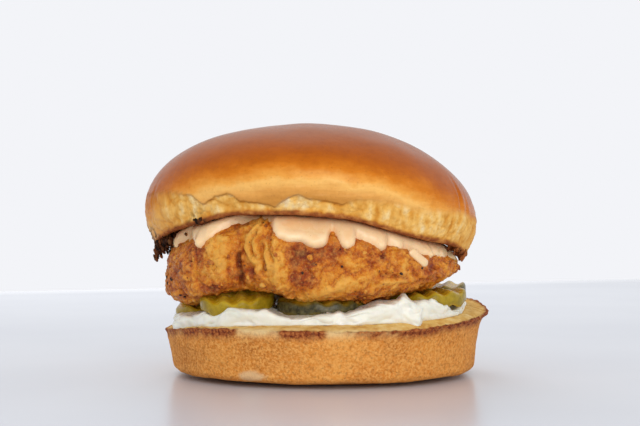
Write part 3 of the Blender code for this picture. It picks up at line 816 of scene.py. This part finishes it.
fillet = {
    "columns": 640,
    "rows": 138,
    "centre": (bunX, -1.2),
    "halfWidth": bunHalfWidth - 7.0,
    "halfDepth": bunHalfDepth - 6.9,
    "planPower": 2.25,
    "powerAbove": 5.9,  # of its section: the higher, the squarer
    "powerBelow": 4.5,
    "halfHeight": 12,
    "underBun": 2.45,  # how far its top lies below the top bun
    "topClearance": 0.035,
    "front": (-6, -22),  # y where what only the front has begins, and where it is full
    "bellyBlur": 2.5,
    "belly": [  # lower face, (x, z)
        (-51, 22.6), (-41, 22.6), (-34, 25.2), (-28, 28.0), (-20, 29.2), (-10, 26.2), (2, 24.4), (14, 24.4),
        (25, 27.0), (36, 29.0), (46, 33.0),
    ],
    "lobes": [  # swellings and hollows: degrees, level, width in degrees, height share, size
        (-118, 0.0, 5, 1.4, -3.0), (-136, -0.1, 13, 0.9, 1.4), (-104, 0.2, 6, 0.7, 0.8),
        (-88, -0.2, 10, 0.6, 1.3), (-62, 0.0, 12, 0.8, 0.9), (-34, 0.3, 8, 0.5, -1.8),
        (-16, 0.1, 8, 0.7, 0.6), (18, -0.1, 11, 0.8, 0.8), (47, 0.0, 6, 1.2, -2.4),
        (76, 0.1, 14, 0.8, 1.4), (104, -0.2, 6, 1.1, -2.2), (131, 0.1, 13, 0.8, 1.5),
        (165, -0.3, 9, 0.6, 1.2), (-172, 0.4, 7, 0.5, -1.2),
    ],
    "knobs": [  # rounder swellings of the front: x, z, half width, half height, size
        (-19, 49.0, 6, 3.5, 1.7), (-47, 30, 4, 4, 0.8),
        (-30.5, 39, 5.5, 8.5, 1.8), (-41, 34, 3.0, 6.0, 0.8), (-12, 37, 3.0, 6.0, 1.2),
        (-3, 33, 5.0, 4.0, -0.7), (9, 30.5, 14, 2.6, 1.2), (18, 36, 7, 3.5, 0.6), (33, 35, 6, 3.0, 0.9),
        (-19, 32, 4.5, 3.5, 0.8), (26, 31, 9, 1.8, -0.6),
    ],
    "ribbons": [  # folded batter: points (x, z), half width, height
        ([(-17.5, 51.6), (-18.4, 48.2), (-21.1, 45.8), (-21.9, 42.7), (-20.8, 39.4), (-19.3, 37.9)],
         0.6, 1.5),
        ([(-14.9, 51.5), (-17.0, 47.9), (-19.4, 45.5), (-19.6, 42.7), (-18.4, 39.5)], 0.5, 1.3),
        ([(-15.7, 43.7), (-16.3, 39.7), (-15.1, 36.1)], 0.5, 1.2),
        ([(-12.9, 45.5), (-13.9, 41.0), (-12.6, 36.5), (-13.4, 33.0)], 0.6, 1.0),
        ([(-23.8, 47.6), (-20.5, 48.6), (-18.0, 48.0)], 0.45, 0.9),
        ([(-6, 26.4), (3, 29.5), (10.6, 32.5), (16, 34.7)], 1.2, 1.0),
        ([(12, 33.5), (20, 31.6), (30, 32.6), (37, 35.0)], 0.8, 0.8),
        ([(-24.3, 40.5), (-24.5, 36), (-23.8, 31)], 0.6, -1.9),
        ([(-18.9, 47.0), (-20.3, 44.0), (-20.3, 41.0)], 0.35, -1.0),
        ([(-17.6, 43.5), (-17.4, 39.5), (-16.8, 36.0)], 0.4, -1.1),
        ([(-14.6, 46.5), (-15.0, 42.5), (-14.0, 38.0)], 0.35, -0.9),
        ([(-20.5, 36.5), (-21.2, 33.0), (-19.8, 30.2)], 0.45, -0.9),
        ([(-44.5, 28.5), (-42, 26)], 0.5, -1.6),
        ([(20, 34.6), (23.5, 33.2)], 0.45, -0.9),
        ([(29, 34.4), (31.0, 32.2)], 0.45, -0.9),
        ([(36.2, 36.0), (36.8, 32.2)], 0.45, -1.0),
    ],
    "crags": 0.95,
    "cragSize": 11,
    "drapes": 0.30,
    "plates": 0.35,
    "plateSize": (6.4, 6.4, 4.6),
    "creases": 0.40,  # between the plates
    "crinkle": 0.36,
    "bubbles": 0.34,
    "bubbleSize": 1.9,
    "nodules": 0.5,
    "noduleSize": 2.5,
    "deepest": 2.4,  # limit of all the relief together
    "underSauce": 0.85,  # how much of the relief the sauce takes away
    "toast": 0.38,  # how brown it is, 0 to 1
    "patches": [  # colour of the front: x, z, half width, half height, darker by
        (-30.5, 39, 5, 8.5, -0.44), (-38, 41, 3.2, 4.0, 0.18), (-43.5, 34, 1.6, 5, 0.22),
        # the narrow patch at x -25 darkens the groove there as painted shade
        (-31, 29.6, 6, 1.6, 0.24), (-36, 30, 7, 4, 0.10), (-25, 37, 1.1, 6, 0.22), (-18, 40, 4.5, 8, -0.26),
        (-48.5, 40, 1.8, 4, -0.3), (-12.3, 38.5, 1.9, 4.5, -0.32), (-3, 40.5, 6, 3.6, 0.32),
        (-6, 33, 4.0, 3.2, 0.30), (-8, 38, 3.5, 3, 0.26), (8, 31, 14, 2.4, -0.24), (5.3, 40.6, 3, 1.6, 0.25),
        (18.9, 39.4, 1.2, 0.9, 0.40), (22, 37.0, 12, 3, -0.06), (18, 33, 6, 2, 0.12), (1, 35.5, 5, 2, -0.16),
        (0, 27.5, 9, 2.2, -0.25), (32, 34, 7, 4, 0.08), (20, 28.5, 12, 1.8, 0.12),
    ],
}


def filletTop(x):
    furtherOut = x + fillet["topClearance"] * (x - fillet["centre"][0])
    return arch(furtherOut) - fillet["underBun"]


def filletBelly(x):
    return blurredLine(fillet["belly"], x, fillet["bellyBlur"])


def sectionLevels(rows, sideDensity):
    # levels from -1 to 1 up a superellipse section, spaced along its length, closer on the side
    halfWidth, halfHeight = fillet["halfWidth"], fillet["halfHeight"]
    turn = np.linspace(-np.pi / 2, np.pi / 2, 4001)
    power = np.where(turn > 0, fillet["powerAbove"], fillet["powerBelow"])
    level = signedPower(np.sin(turn), 2 / power)
    share = np.abs(np.cos(turn)) ** (2 / power)
    density = 1 + sideDensity * smoothStep(0.55, 0.8, share)
    step = np.hypot(np.diff(share) * halfWidth, np.diff(level) * halfHeight)
    step = step * (density[1:] + density[:-1]) / 2
    run = np.concatenate(([0], np.cumsum(step)))
    at = np.linspace(0, run[-1], rows + 2)[1:-1]
    return np.interp(at, run, level), np.interp(at, run, share)


def filletSurface(theta, level, share):
    # superellipse plan times superellipse section, between the belly and the top, swollen by its lobes
    s = fillet
    reach = superellipse(theta, s["halfWidth"], s["halfDepth"], s["planPower"])
    for angle, height, width, spread, size in s["lobes"]:
        reach = reach + size * bell(degreesFrom(theta, angle), width) * bell(level - height, spread)
    radius = share * reach
    x = s["centre"][0] + radius * np.cos(theta)
    y = s["centre"][1] + radius * np.sin(theta)
    high, low = filletTop(x), filletBelly(x)
    return np.stack((x, y, (high + low) / 2 + level * (high - low) / 2), axis=-1)


def distanceToLine(x, z, line):
    # least distance in the x-z plane to a line of points
    line = np.array(line, dtype=float)
    best = np.full(x.shape, 99.0)
    for start, end in zip(line[:-1], line[1:]):
        along = end - start
        t = np.clip(((x - start[0]) * along[0] + (z - start[1]) * along[1]) / (along @ along), 0, 1)
        best = np.minimum(best, np.hypot(x - start[0] - t * along[0], z - start[1] - t * along[1]))
    return best


def frontSpots(grid, spots):
    # oval spots on the front, each its size times a bell about its (x, z), added together
    x, y, z = np.moveaxis(grid, -1, 0)
    return smoothStep(*fillet["front"], y) * sum(
        size * bell(np.hypot((x - atX) / wide, (z - atZ) / high), 1)
        for atX, atZ, wide, high, size in spots
    )


def makeFillet(material, cover):
    # crust relief on the swollen fillet: warped noise, creased plates, nodules, folded ribbons;
    # it is smoother where the sauce lies on it
    s = fillet
    theta = ringAngles(s["columns"])
    level, share = sectionLevels(s["rows"], 1.6)
    level, share = level[:, None], share[:, None]
    grid = filletSurface(theta, level, share)
    normal = gridNormals(grid)
    grid = grid + normal * frontSpots(grid, s["knobs"])[..., None]
    normal = gridNormals(grid)
    x, y, z = np.moveaxis(grid, -1, 0)
    front = smoothStep(*s["front"], y)
    side = smoothStep(0.5, 0.85, share)

    warp = np.stack([cloud(grid, 7, 2, seed) for seed in (1, 2, 3)], axis=-1) * 2.0
    bent = grid + warp
    broad = cloud(bent, s["cragSize"], 3, 4)
    draped = 1 - 2.2 * np.abs(gradientNoise(bent, (6.5, 6.5, 4.0), 5))
    near, second, plate = cellDistances(bent, s["plateSize"], 6)
    crease = bell(second - near, 0.07)
    nodNear, _, nodTone = cellDistances(grid + 0.4 * warp, s["noduleSize"], 7)
    nodule = np.clip(1 - (nodNear / 0.6) ** 2, 0, 1) * smoothStep(0.35, 0.65, nodTone)
    bubbleNear, _, bubbleTone = cellDistances(grid + 0.2 * warp, s["bubbleSize"], 14)
    bubble = np.clip(1 - (bubbleNear / 0.55) ** 2, 0, 1) * smoothStep(0.2, 0.7, bubbleTone)
    crinkle = 0.5 - np.abs(gradientNoise(bent, 1.9, 12))
    relief = s["crags"] * broad + s["drapes"] * draped + s["plates"] * (plate - 0.5) - 0.35
    relief = relief - s["creases"] * crease + s["nodules"] * nodule + s["bubbles"] * bubble
    relief = relief + s["crinkle"] * crinkle + 0.18 * cloud(grid, 1.1, 2, 8)
    fold = np.zeros_like(relief)
    for line, wide, high in s["ribbons"]:
        away = distanceToLine(x + 0.5 * gradientNoise(grid, 3, 9), z, line)
        mark = bell(away, wide) * front
        relief = relief * (1 - 0.6 * mark * (high > 0)) + high * mark
        fold = fold + high * mark
    calm = 0.45 + 0.55 * side
    relief = np.clip(relief * calm, -s["deepest"], s["deepest"]) * (1 - s["underSauce"] * cover(theta, grid))
    toast = s["toast"] + 0.30 * cloud(bent, 9, 3, 10) + 0.12 * gradientNoise(bent, 2.6, 11)
    toast = toast + frontSpots(grid, s["patches"])
    grid = grid + normal * relief[..., None]
    values = {
        # raised folds of batter a little paler, grooved ones a little darker: painted light and shade
        "toast": np.clip(toast - 0.06 * fold, 0, 1),
        # paler on raised relief, darker and redder in hollows and creases: painted light and shade
        "hollow": np.clip(0.35 - 0.34 * relief + 0.30 * crease, 0, 1),
        "knob": np.clip(nodule + 0.6 * bubble, 0, 1),
    }
    closedBody("fried_fillet", grid, material, "chicken_fillet", values)
    return grid, gridNormals(grid), side + 0 * theta


def friedCrust():
    # crisp batter from pale gold through orange brown to dark red brown, oily in places, with painted shade
    # in its hollows and creases
    f = Finish("friedBatter", Specular_IOR_Level=0.3, Subsurface_Weight=0.08, Subsurface_Scale=0.0015,
               Subsurface_Radius=(1.0, 0.5, 0.2))
    blotch = f.scale(f.noise(2.4, 6, 0.78), 0.32, 0.68, -0.33, 0.33)
    tone = f.math("ADD", f.value("toast"), blotch)
    # darker and redder in the hollows: painted shade
    tone = f.math("ADD", tone, f.scale(f.value("hollow"), 0, 1, -0.17, 0.33))
    look = f.ramp(tone, [
        (0.0, "f8b248"), (0.22, "ea9224"), (0.42, "d27015"), (0.60, "b3510e"), (0.78, "943a10"),
        (1.0, "6c220a"),
    ])
    flour = f.scale(f.noise(0.8, 4, 0.7), 0.51, 0.70)
    look = f.tint(look, "f7bd60", flour, 0.5)
    look = f.tint(look, "f0ad58", f.value("knob"), 0.25)
    # small dark dots in the batter's pits: painted shade
    pits = f.scale(f.cells(1.7), 0.0, 0.25, 1.0, 0.0)
    look = f.tint(look, "8a4418", pits, 0.35, "MULTIPLY")
    wet = f.scale(f.noise(4, 3, 0.6), 0.35, 0.65, 0.2, 0.5)
    fine = f.bump(f.noise(0.8, 4, 0.75), 0.42, 1.0)
    crisp = f.bump(f.noise(1.8, 5, 0.7), 0.85, 0.95, fine)
    return f.set(Base_Color=look, Roughness=wet, Normal=crisp)


sauce = {
    "columns": 640,
    "rows": 118,
    "innerRows": 8,
    "lowestLevel": -0.75,
    "thickness": 1.25,
    "beadHeight": 1.9,
    "beadWidth": 2.2,
    "buried": 3.0,
    "blend": 1.9,  # how widely a drip melts into the band above it
    "frontBase": [  # lower edge of the band between the drips, (x, z)
        (-50.5, 41.0), (-47.5, 41.3), (-46, 43.5), (-43.8, 45.8), (-42.5, 44.3), (-39.5, 43.8), (-34.0, 44.4),
        (-32, 46.6), (-29.2, 48.4), (-26.2, 50.7), (-24.8, 52.3), (-17.2, 53.0), (-15.6, 51.5), (-15.0, 47.5),
        (-13.0, 45.0), (-9.8, 44.0), (-6, 44.0), (-2, 43.2), (2.0, 43.4), (2.9, 46.4), (4.4, 46.8),
        (5.4, 45.8), (6.2, 43.8), (10, 43.0), (11.2, 45.4), (13.0, 45.0), (14.2, 44.1), (16.5, 43.6),
        (20, 43.0), (22.5, 43.0), (25.3, 41.5), (28.5, 41.5), (30.9, 40.8), (33.4, 39.9), (36.5, 39.9),
        (38.5, 39.2), (41.6, 38.8), (46, 38.8),
    ],
    "frontDrips": [  # x, lowest z, radius
        (-36.6, 41.9, 1.8), (-1.6, 42.3, 3.0), (8.0, 42.0, 1.9), (19.0, 42.0, 2.0), (35.2, 38.8, 1.4),
    ],
    "backBase": [  # the same behind
        (-50.5, 43.2), (-46, 44.6), (-40, 47.2), (-33, 48.4), (-26, 50.4), (-18, 48.0), (-8, 47.2), (2, 49.4),
        (10, 47.6), (17, 45.4), (24, 45.8), (32, 42.4), (40, 41.6), (46, 38.8),
    ],
    "backDrips": [
        (-41, 43.0, 2.0), (-30, 44.8, 2.6), (-14, 42.2, 2.4), (-6, 44.2, 1.8), (9, 43.4, 3.0),
        (20, 41.0, 2.0), (29, 40.8, 1.6), (38, 37.6, 2.0),
    ],
    "sideDrips": [  # degrees, lowest z, radius
        (-168, 41.6, 1.6), (168, 40.2, 2.2), (-14, 37.0, 1.6), (2, 35.6, 2.0), (17, 37.8, 1.7),
    ],
    "wobble": 0.25,  # of the outline
    "ripples": 0.32,
    "settleBlur": 4,
    "drop": ((28.4, 40.5), (32.0, 37.4), 1.35),  # a loose drop: one end and the other, (x, z), and its radius
}


def sauceEdge():
    # the way round the fillet, and for it the band's lower edge and the drips, by arc length
    s = fillet
    theta = np.linspace(-np.pi, np.pi, 2001)
    reach = superellipse(theta, s["halfWidth"], s["halfDepth"], s["planPower"])
    x = s["centre"][0] + reach * np.cos(theta)
    y = reach * np.sin(theta)
    run = np.concatenate(([0], np.cumsum(np.hypot(np.diff(x), np.diff(y)))))
    half = len(theta) // 2

    def frontRun(at):
        return np.interp(at, x[:half + 1], run[:half + 1])

    def backRun(at):
        return np.interp(-np.array(at), -x[half:], run[half:])

    frontX, frontZ = np.array(sauce["frontBase"]).T
    backX, backZ = np.array(sauce["backBase"][1:-1]).T
    baseRun = np.concatenate((frontRun(frontX), backRun(backX[::-1])))
    baseZ = np.concatenate((frontZ, backZ[::-1]))
    drips = [(float(frontRun(at)), tip, wide) for at, tip, wide in sauce["frontDrips"]]
    drips += [(float(backRun(at)), tip, wide) for at, tip, wide in sauce["backDrips"]]
    drips += [(float(np.interp(np.radians(a), theta, run)), tip, wide) for a, tip, wide in sauce["sideDrips"]]
    return theta, run, baseRun, baseZ, drips


def softMax(first, second, blend):
    # the larger of two distances, melted together where they are within blend of each other
    near = np.maximum(blend - np.abs(first - second), 0) / blend
    return np.maximum(first, second) + near * near * blend / 4


edgeTheta, edgeRun, baseRun, baseHeight, dripList = sauceEdge()


def bandEdge(around, blur):
    # height of the band's lower edge along the way round
    return runningMean(baseRun, baseHeight, around, blur, edgeRun[-1])


def sauceDepth(theta, z):
    # signed distance inside the sauce's outline: a band above its lower edge, melted together with a
    # capsule for each drip, which reaches from its tip up to the band
    around = np.interp(theta, edgeTheta, edgeRun) + 0 * z
    total = edgeRun[-1]
    above = z - bandEdge(around, 0.8)
    slope = (bandEdge(around + 0.5, 0.1) - bandEdge(around - 0.5, 0.1)) * bell(above, 2.4)
    depth = above / np.sqrt(1 + slope ** 2)
    for at, tip, wide in dripList:
        apart = (around - at + total / 2) % total - total / 2
        highest = max(tip + wide, float(bandEdge(at, 0)))
        depth = softMax(depth, wide - np.hypot(apart, z - np.clip(z, tip + wide, highest)), sauce["blend"])
    return depth


def underSauce(theta, grid):
    # 1 under the sauce, 0 outside it
    return smoothStep(-0.3, 1.0, sauceDepth(theta, grid[..., 2]))


def makeSauce(material):
    # a skin over the fillet: its thickness rises from nothing at the outline as a quarter round bead,
    # and outside the outline it dives into the fillet, where it closes
    s = sauce
    theta = ringAngles(s["columns"])
    level, share = sectionLevels(260, 3.0)
    wanted = np.linspace(np.searchsorted(level, s["lowestLevel"]), len(level) - 1, s["rows"]).astype(int)
    level, share = level[wanted][:, None], share[wanted][:, None]
    skin = filletSurface(theta, level, share)
    skin = skin + gridNormals(skin) * frontSpots(skin, fillet["knobs"])[..., None]
    normal = gridNormals(skin)
    depth = sauceDepth(theta, skin[..., 2] + s["wobble"] * gradientNoise(skin, 2.5, 3))
    inside = np.clip(depth / s["beadWidth"], 0, 1)
    bead = s["beadHeight"] * np.sqrt(np.clip(1 - (1 - inside) ** 2, 0, 1))
    above = skin[..., 2] - bandEdge(np.interp(theta, edgeTheta, edgeRun), s["settleBlur"])
    settle = (s["beadHeight"] - s["thickness"]) * smoothStep(0.5, 6, above)
    ripples = s["ripples"] * cloud(skin, (7, 7, 4), 3, 4) * smoothStep(0.5, 3, depth)
    outside = -s["buried"] * np.clip(-depth / 0.6, 0, 1)
    thick = np.where(depth > 0, bead - settle + ripples, outside)
    outer = skin + normal * thick[..., None]
    toBun = arch(outer[..., 0]) + 0.1 - outer[..., 2]
    outer[..., 2] += np.maximum(toBun, 0) * smoothStep(0.72, 0.93, level)  # it fills up to the bun
    inner = skin - normal * (s["buried"] + 0.6)
    pick = np.linspace(len(inner) - 1, 0, s["innerRows"]).astype(int)
    grid = np.concatenate((inner[pick], outer))
    values = {"bead": np.concatenate((0 * thick[pick], bell(depth - 0.9, 1.2)))}
    return closedBody("creamy_sauce", grid, material, "sauce", values)


def makeDrop(material):
    # a capsule from one end to the other, rings round its axis, lying on the fillet's front
    start, end, radius = sauce["drop"]
    theta = ringAngles(40)
    lift = np.linspace(-np.pi / 2, np.pi / 2, 26)[1:-1, None]
    length = math.dist(start, end)
    tilt = math.atan2(end[1] - start[1], end[0] - start[0])
    along = np.sin(lift) * radius + np.where(lift > 0, length / 2, -length / 2)
    across = np.cos(lift) * radius * np.cos(theta)
    x = (start[0] + end[0]) / 2 + along * math.cos(tilt) - across * math.sin(tilt)
    z = (start[1] + end[1]) / 2 + along * math.sin(tilt) + across * math.cos(tilt)
    share = (x - fillet["centre"][0]) / fillet["halfWidth"]
    power = fillet["planPower"]
    onFillet = fillet["centre"][1] - fillet["halfDepth"] * (1 - share ** power) ** (1 / power)
    y = onFillet - 0.6 + np.cos(lift) * radius * np.sin(theta)
    grid = np.stack((x, y, z), axis=-1)
    grid = grid + 0.12 * gradientNoise(grid, 1.6, 2)[..., None]
    return closedBody("sauce_drop", grid[::-1], material, None, {"bead": 1 + 0 * x})


def sauceColour():
    # smooth pale orange sauce, glossy, a little paler along the thick bead at its edge
    f = Finish("creamySauce", Subsurface_Weight=0.2, Subsurface_Scale=0.0025, Specular_IOR_Level=0.5,
               Subsurface_Radius=(1.0, 0.6, 0.35))
    look = f.ramp(f.noise(6, 3, 0.5), [(0.3, "ffca8e"), (0.7, "ffdaa8")])
    look = f.tint(look, "ffdcae", f.value("bead"), 0.5)
    speck = f.scale(f.cells(2.6), 0.02, 0.09, 1.0, 0.0)
    look = f.tint(look, "b4632f", speck, 0.6)
    shine = f.scale(f.noise(3, 2, 0.5), 0.3, 0.7, 0.2, 0.34)
    return f.set(Base_Color=look, Roughness=shine, Normal=f.bump(f.noise(1.8, 3, 0.5), 0.08, 0.6))


bits = {
    "columns": 8,
    "rows": 5,
    "lumpy": 0.45,
    # half widths, and height against them
    "flakes": {"count": 760, "small": 0.3, "large": 1.0, "flat": 0.55},
    "specks": {"count": 70, "small": 0.16, "large": 0.42, "flat": 0.8},
    "frontSpecks": [  # (x, z)
        (-47, 32.2), (-46.4, 31.8), (-5.4, 34.7), (-43.5, 27.0), (-42.6, 26.4), (24.4, 34.2), (6.8, 36.6),
    ],
    "crumbs": {"small": 0.35, "large": 1.05, "flat": 0.6},
    # heaps below the top bun: degrees, spread in degrees, lift, spread up, how many, burnt, how far inwards
    "crumbHeaps": [
        (-171, 9, -0.4, 1.0, 150, 0.85, 2.4), (-170, 12, -2.4, 1.3, 460, 0.8, 6.0),
        (-133, 5, 0.2, 0.35, 34, 0.95, 2.4), (-12, 9, 0.1, 0.6, 56, 0.2, 2.4),
        (-14, 9, -1.4, 0.7, 90, 0.25, 5.0), (60, 9, 0.2, 0.5, 34, 0.7, 2.4),
        (150, 16, 0.2, 0.5, 44, 0.5, 2.4),
    ],
}


def scatterBits(name, spots, normals, halfWidth, flat, seed, material, values):
    # one small lumpy ball for each spot, squashed along the normal there and turned by chance about it
    rng = np.random.default_rng(seed)
    rows, columns, count = bits["rows"], bits["columns"], len(spots)
    lift = np.linspace(-np.pi / 2, np.pi / 2, rows + 2)[:, None]
    turn = ringAngles(columns)
    ball = ringPoints(np.cos(lift), turn, np.sin(lift))
    ball = np.concatenate((ball[1:-1].reshape(-1, 3), [[0, 0, -1], [0, 0, 1]]))
    side = np.cross(normals, rng.normal(size=(count, 3)))
    side = side / np.linalg.norm(side, axis=-1, keepdims=True)
    other = np.cross(normals, side)
    number = np.arange(count)[:, None, None]
    lumps = gradientNoise(ball[None] + 7.3 * number, 0.9, seed)
    shape = ball[None] * (1 + bits["lumpy"] * lumps)[..., None]
    long = halfWidth * rng.uniform(1.0, 1.5, count)
    lengths = np.stack((long, halfWidth, halfWidth * flat), axis=-1)
    axes = np.stack((side, other, normals), axis=1) * lengths[..., None]
    points = (shape @ axes + spots[:, None]).reshape(-1, 3)
    faces = closedFaces(rows, columns)
    faces = np.where(faces < 0, -1, faces + len(ball) * number).reshape(-1, 4)
    values = {label: np.repeat(value, len(ball)) for label, value in values.items()}
    return makePiece(name, points, faces, material, None, values)


def sizes(kind, count, rng):
    # mostly small ones: the square of a chance value runs from the smallest to the largest half width
    return kind["small"] + (kind["large"] - kind["small"]) * rng.uniform(0, 1, count) ** 2


def makeFlakes(grid, normal, side, material):
    # loose crisps of batter on the side of the fillet
    rng = np.random.default_rng(21)
    kind = bits["flakes"]
    chance = (side * np.clip(0.4 + cloud(grid, 9, 2, 55), 0, 1) ** 2).ravel()
    chosen = rng.choice(chance.size, kind["count"], p=chance / chance.sum())
    half = sizes(kind, kind["count"], rng)
    values = {
        "toast": rng.uniform(0.1, 0.8, kind["count"]),
        "hollow": np.full(kind["count"], 0.25),
        "knob": rng.uniform(0, 1, kind["count"]),
    }
    spots, facing = grid.reshape(-1, 3)[chosen], normal.reshape(-1, 3)[chosen]
    scatterBits("batter_flakes", spots, facing, half, kind["flat"], 5, material, values)


def makeSpecks(grid, normal, side, material):
    # burnt specks: a few at set places of the front, the rest by chance
    rng = np.random.default_rng(22)
    kind = bits["specks"]
    x, y, z = grid.reshape(-1, 3).T
    behind = 1e3 * (y > 0)
    fixed = [int(np.argmin(np.hypot(x - atX, z - atZ) + behind)) for atX, atZ in bits["frontSpecks"]]
    chance = side.ravel() / side.sum()
    chosen = np.concatenate((fixed, rng.choice(chance.size, kind["count"], p=chance)))
    half = sizes(kind, len(chosen), rng)
    half[:len(fixed)] = kind["large"]
    spots, facing = grid.reshape(-1, 3)[chosen], normal.reshape(-1, 3)[chosen]
    scatterBits("burnt_specks", spots, facing, half, kind["flat"], 6, material, {})


def makeCrumbs(material):
    # toasted crumbs heaped along the lower edge of the top bun
    rng = np.random.default_rng(23)
    kind = bits["crumbs"]
    theta = np.concatenate([np.radians(rng.normal(h[0], h[1] / 2, h[4])) for h in bits["crumbHeaps"]])
    lift = np.concatenate([rng.normal(h[2], h[3], h[4]) for h in bits["crumbHeaps"]])
    burnt = np.concatenate([rng.normal(h[5], 0.25, h[4]) for h in bits["crumbHeaps"]])
    inwards = np.concatenate([rng.uniform(0.2, h[6], h[4]) for h in bits["crumbHeaps"]])
    reach = superellipse(theta, bunHalfWidth, bunHalfDepth, 2) - topBun["tuck"] - inwards
    x = bunX + reach * np.cos(theta)
    spots = np.stack((x, reach * np.sin(theta), arch(x) + 0.5 + lift), axis=-1)
    facing = np.stack((np.cos(theta), np.sin(theta), -0.4 + 0 * theta), axis=-1)
    facing = facing / np.linalg.norm(facing, axis=-1, keepdims=True)
    zero = np.zeros(len(theta))
    values = {
        "baked": zero + 0.3,
        "crumb": zero,
        "pale": zero,
        "crack": zero,
        "toasted": zero + 1,
        "char": np.clip(burnt, 0, 1),
    }
    half = sizes(kind, len(theta), rng)
    scatterBits("toasted_crumbs", spots, facing, half, kind["flat"], 7, material, values)


def charredBlack():
    f = Finish("charredBatter", Specular_IOR_Level=0.4, Roughness=0.4)
    return f.set(Base_Color=f.ramp(f.noise(0.5, 2, 0.5), [(0.3, "160c08"), (0.7, "3a1c10")]))


stage = {
    "tableTurn": 22.6,  # degrees
    "tableEdge": 0.560,  # metres from the sandwich to the far edge
    "tableSize": 6.0,
    "tableFade": 0.05,  # metres over which the far edge turns as pale as the wall
    "wallColour": "f3f4f8",
    "airLight": 0.75,
    "lamps": [  # name, place, size, power, whether it shows in shiny surfaces
        ("behind", (-0.15, 0.70, 0.62), 0.6, 3.6, False),
        ("front", (0.20, -0.97, 0.22), 0.8, 4.9, True),
    ],
    "lampAim": (0, 0, 0.045),
    "cameraPlace": (0, -0.500, 0.0527),
    "lens": 85,
}


def makeTable():
    turn = math.radians(stage["tableTurn"])
    size = stage["tableSize"]
    far = stage["tableEdge"]
    inner = far - stage["tableFade"]
    corners = np.array((
        (-size, -size), (size, -size), (size, inner), (-size, inner), (size, far), (-size, far),
    ))
    spin = np.array(((math.cos(turn), math.sin(turn)), (-math.sin(turn), math.cos(turn))))
    flat = corners @ spin
    mesh = bpy.data.meshes.new("table")
    mesh.from_pydata([(x, y, -0.0002) for x, y in flat], [], [(0, 1, 2, 3), (3, 2, 4, 5)])
    fade = mesh.attributes.new("fade", "FLOAT", "POINT")
    fade.data.foreach_set("value", np.array((0, 0, 0, 0, 1, 1), dtype=np.float32))
    table = bpy.data.objects.new("table", mesh)
    bpy.context.scene.collection.objects.link(table)
    f = Finish("tableTop", Specular_IOR_Level=0.5, Roughness=0.24)
    pale = f.ramp(f.noise(120, 2, 0.5), [(0.3, "d3d6df"), (0.7, "d9dce4")])
    mesh.materials.append(f.set(Base_Color=f.mix(f.value("fade"), pale, "eff1f6")))


def makeLight(name, where, size, power, mirrored):
    lamp = bpy.data.lights.new(name, "AREA")
    lamp.shape = "DISK"
    lamp.size = size
    lamp.energy = power
    made = bpy.data.objects.new(name, lamp)
    made.location = where
    made.rotation_euler = (Vector(stage["lampAim"]) - Vector(where)).to_track_quat("-Z", "Y").to_euler()
    made.visible_glossy = mirrored
    bpy.context.scene.collection.objects.link(made)


def makeWorld():
    # a near-white backdrop for the camera, and a dimmer even light for everything else
    world = bpy.data.worlds.new("studio")
    bpy.context.scene.world = world
    world.use_nodes = True
    tree = world.node_tree
    tree.nodes.clear()
    seen = tree.nodes.new("ShaderNodeBackground")
    seen.inputs["Color"].default_value = colour(stage["wallColour"])
    light = tree.nodes.new("ShaderNodeBackground")
    light.inputs["Color"].default_value = (0.97, 0.98, 1.0, 1.0)
    light.inputs["Strength"].default_value = stage["airLight"]
    path = tree.nodes.new("ShaderNodeLightPath")
    either = tree.nodes.new("ShaderNodeMixShader")
    out = tree.nodes.new("ShaderNodeOutputWorld")
    tree.links.new(path.outputs["Is Camera Ray"], either.inputs[0])
    tree.links.new(light.outputs[0], either.inputs[1])
    tree.links.new(seen.outputs[0], either.inputs[2])
    tree.links.new(either.outputs[0], out.inputs["Surface"])


def makeCamera():
    lens = bpy.data.cameras.new("camera")
    lens.lens = stage["lens"]
    lens.sensor_width = 36
    lens.clip_start = 0.01
    made = bpy.data.objects.new("camera", lens)
    made.location = stage["cameraPlace"]
    made.rotation_euler = (math.radians(90), 0, 0)
    bpy.context.scene.collection.objects.link(made)
    bpy.context.scene.camera = made


makeBottomBun(heelCrust())
makeMayonnaise(mayonnaiseWhite())
green = pickleGreen()
for sliceNode in pickles["slices"]:
    makePickle(sliceNode, green)
batter = friedCrust()
crustGrid, crustNormal, crustSide = makeFillet(batter, underSauce)
makeFlakes(crustGrid, crustNormal, crustSide, batter)
makeSpecks(crustGrid, crustNormal, crustSide, charredBlack())
pink = sauceColour()
makeSauce(pink)
makeDrop(pink)
brioche = briocheCrust()
makeTopBun(brioche)
makeCrumbs(brioche)
print("pieces done")

makeTable()
makeWorld()
for lamp in stage["lamps"]:
    makeLight(*lamp)
makeCamera()
bpy.context.scene.view_settings.view_transform = "Standard"
print("stage done")
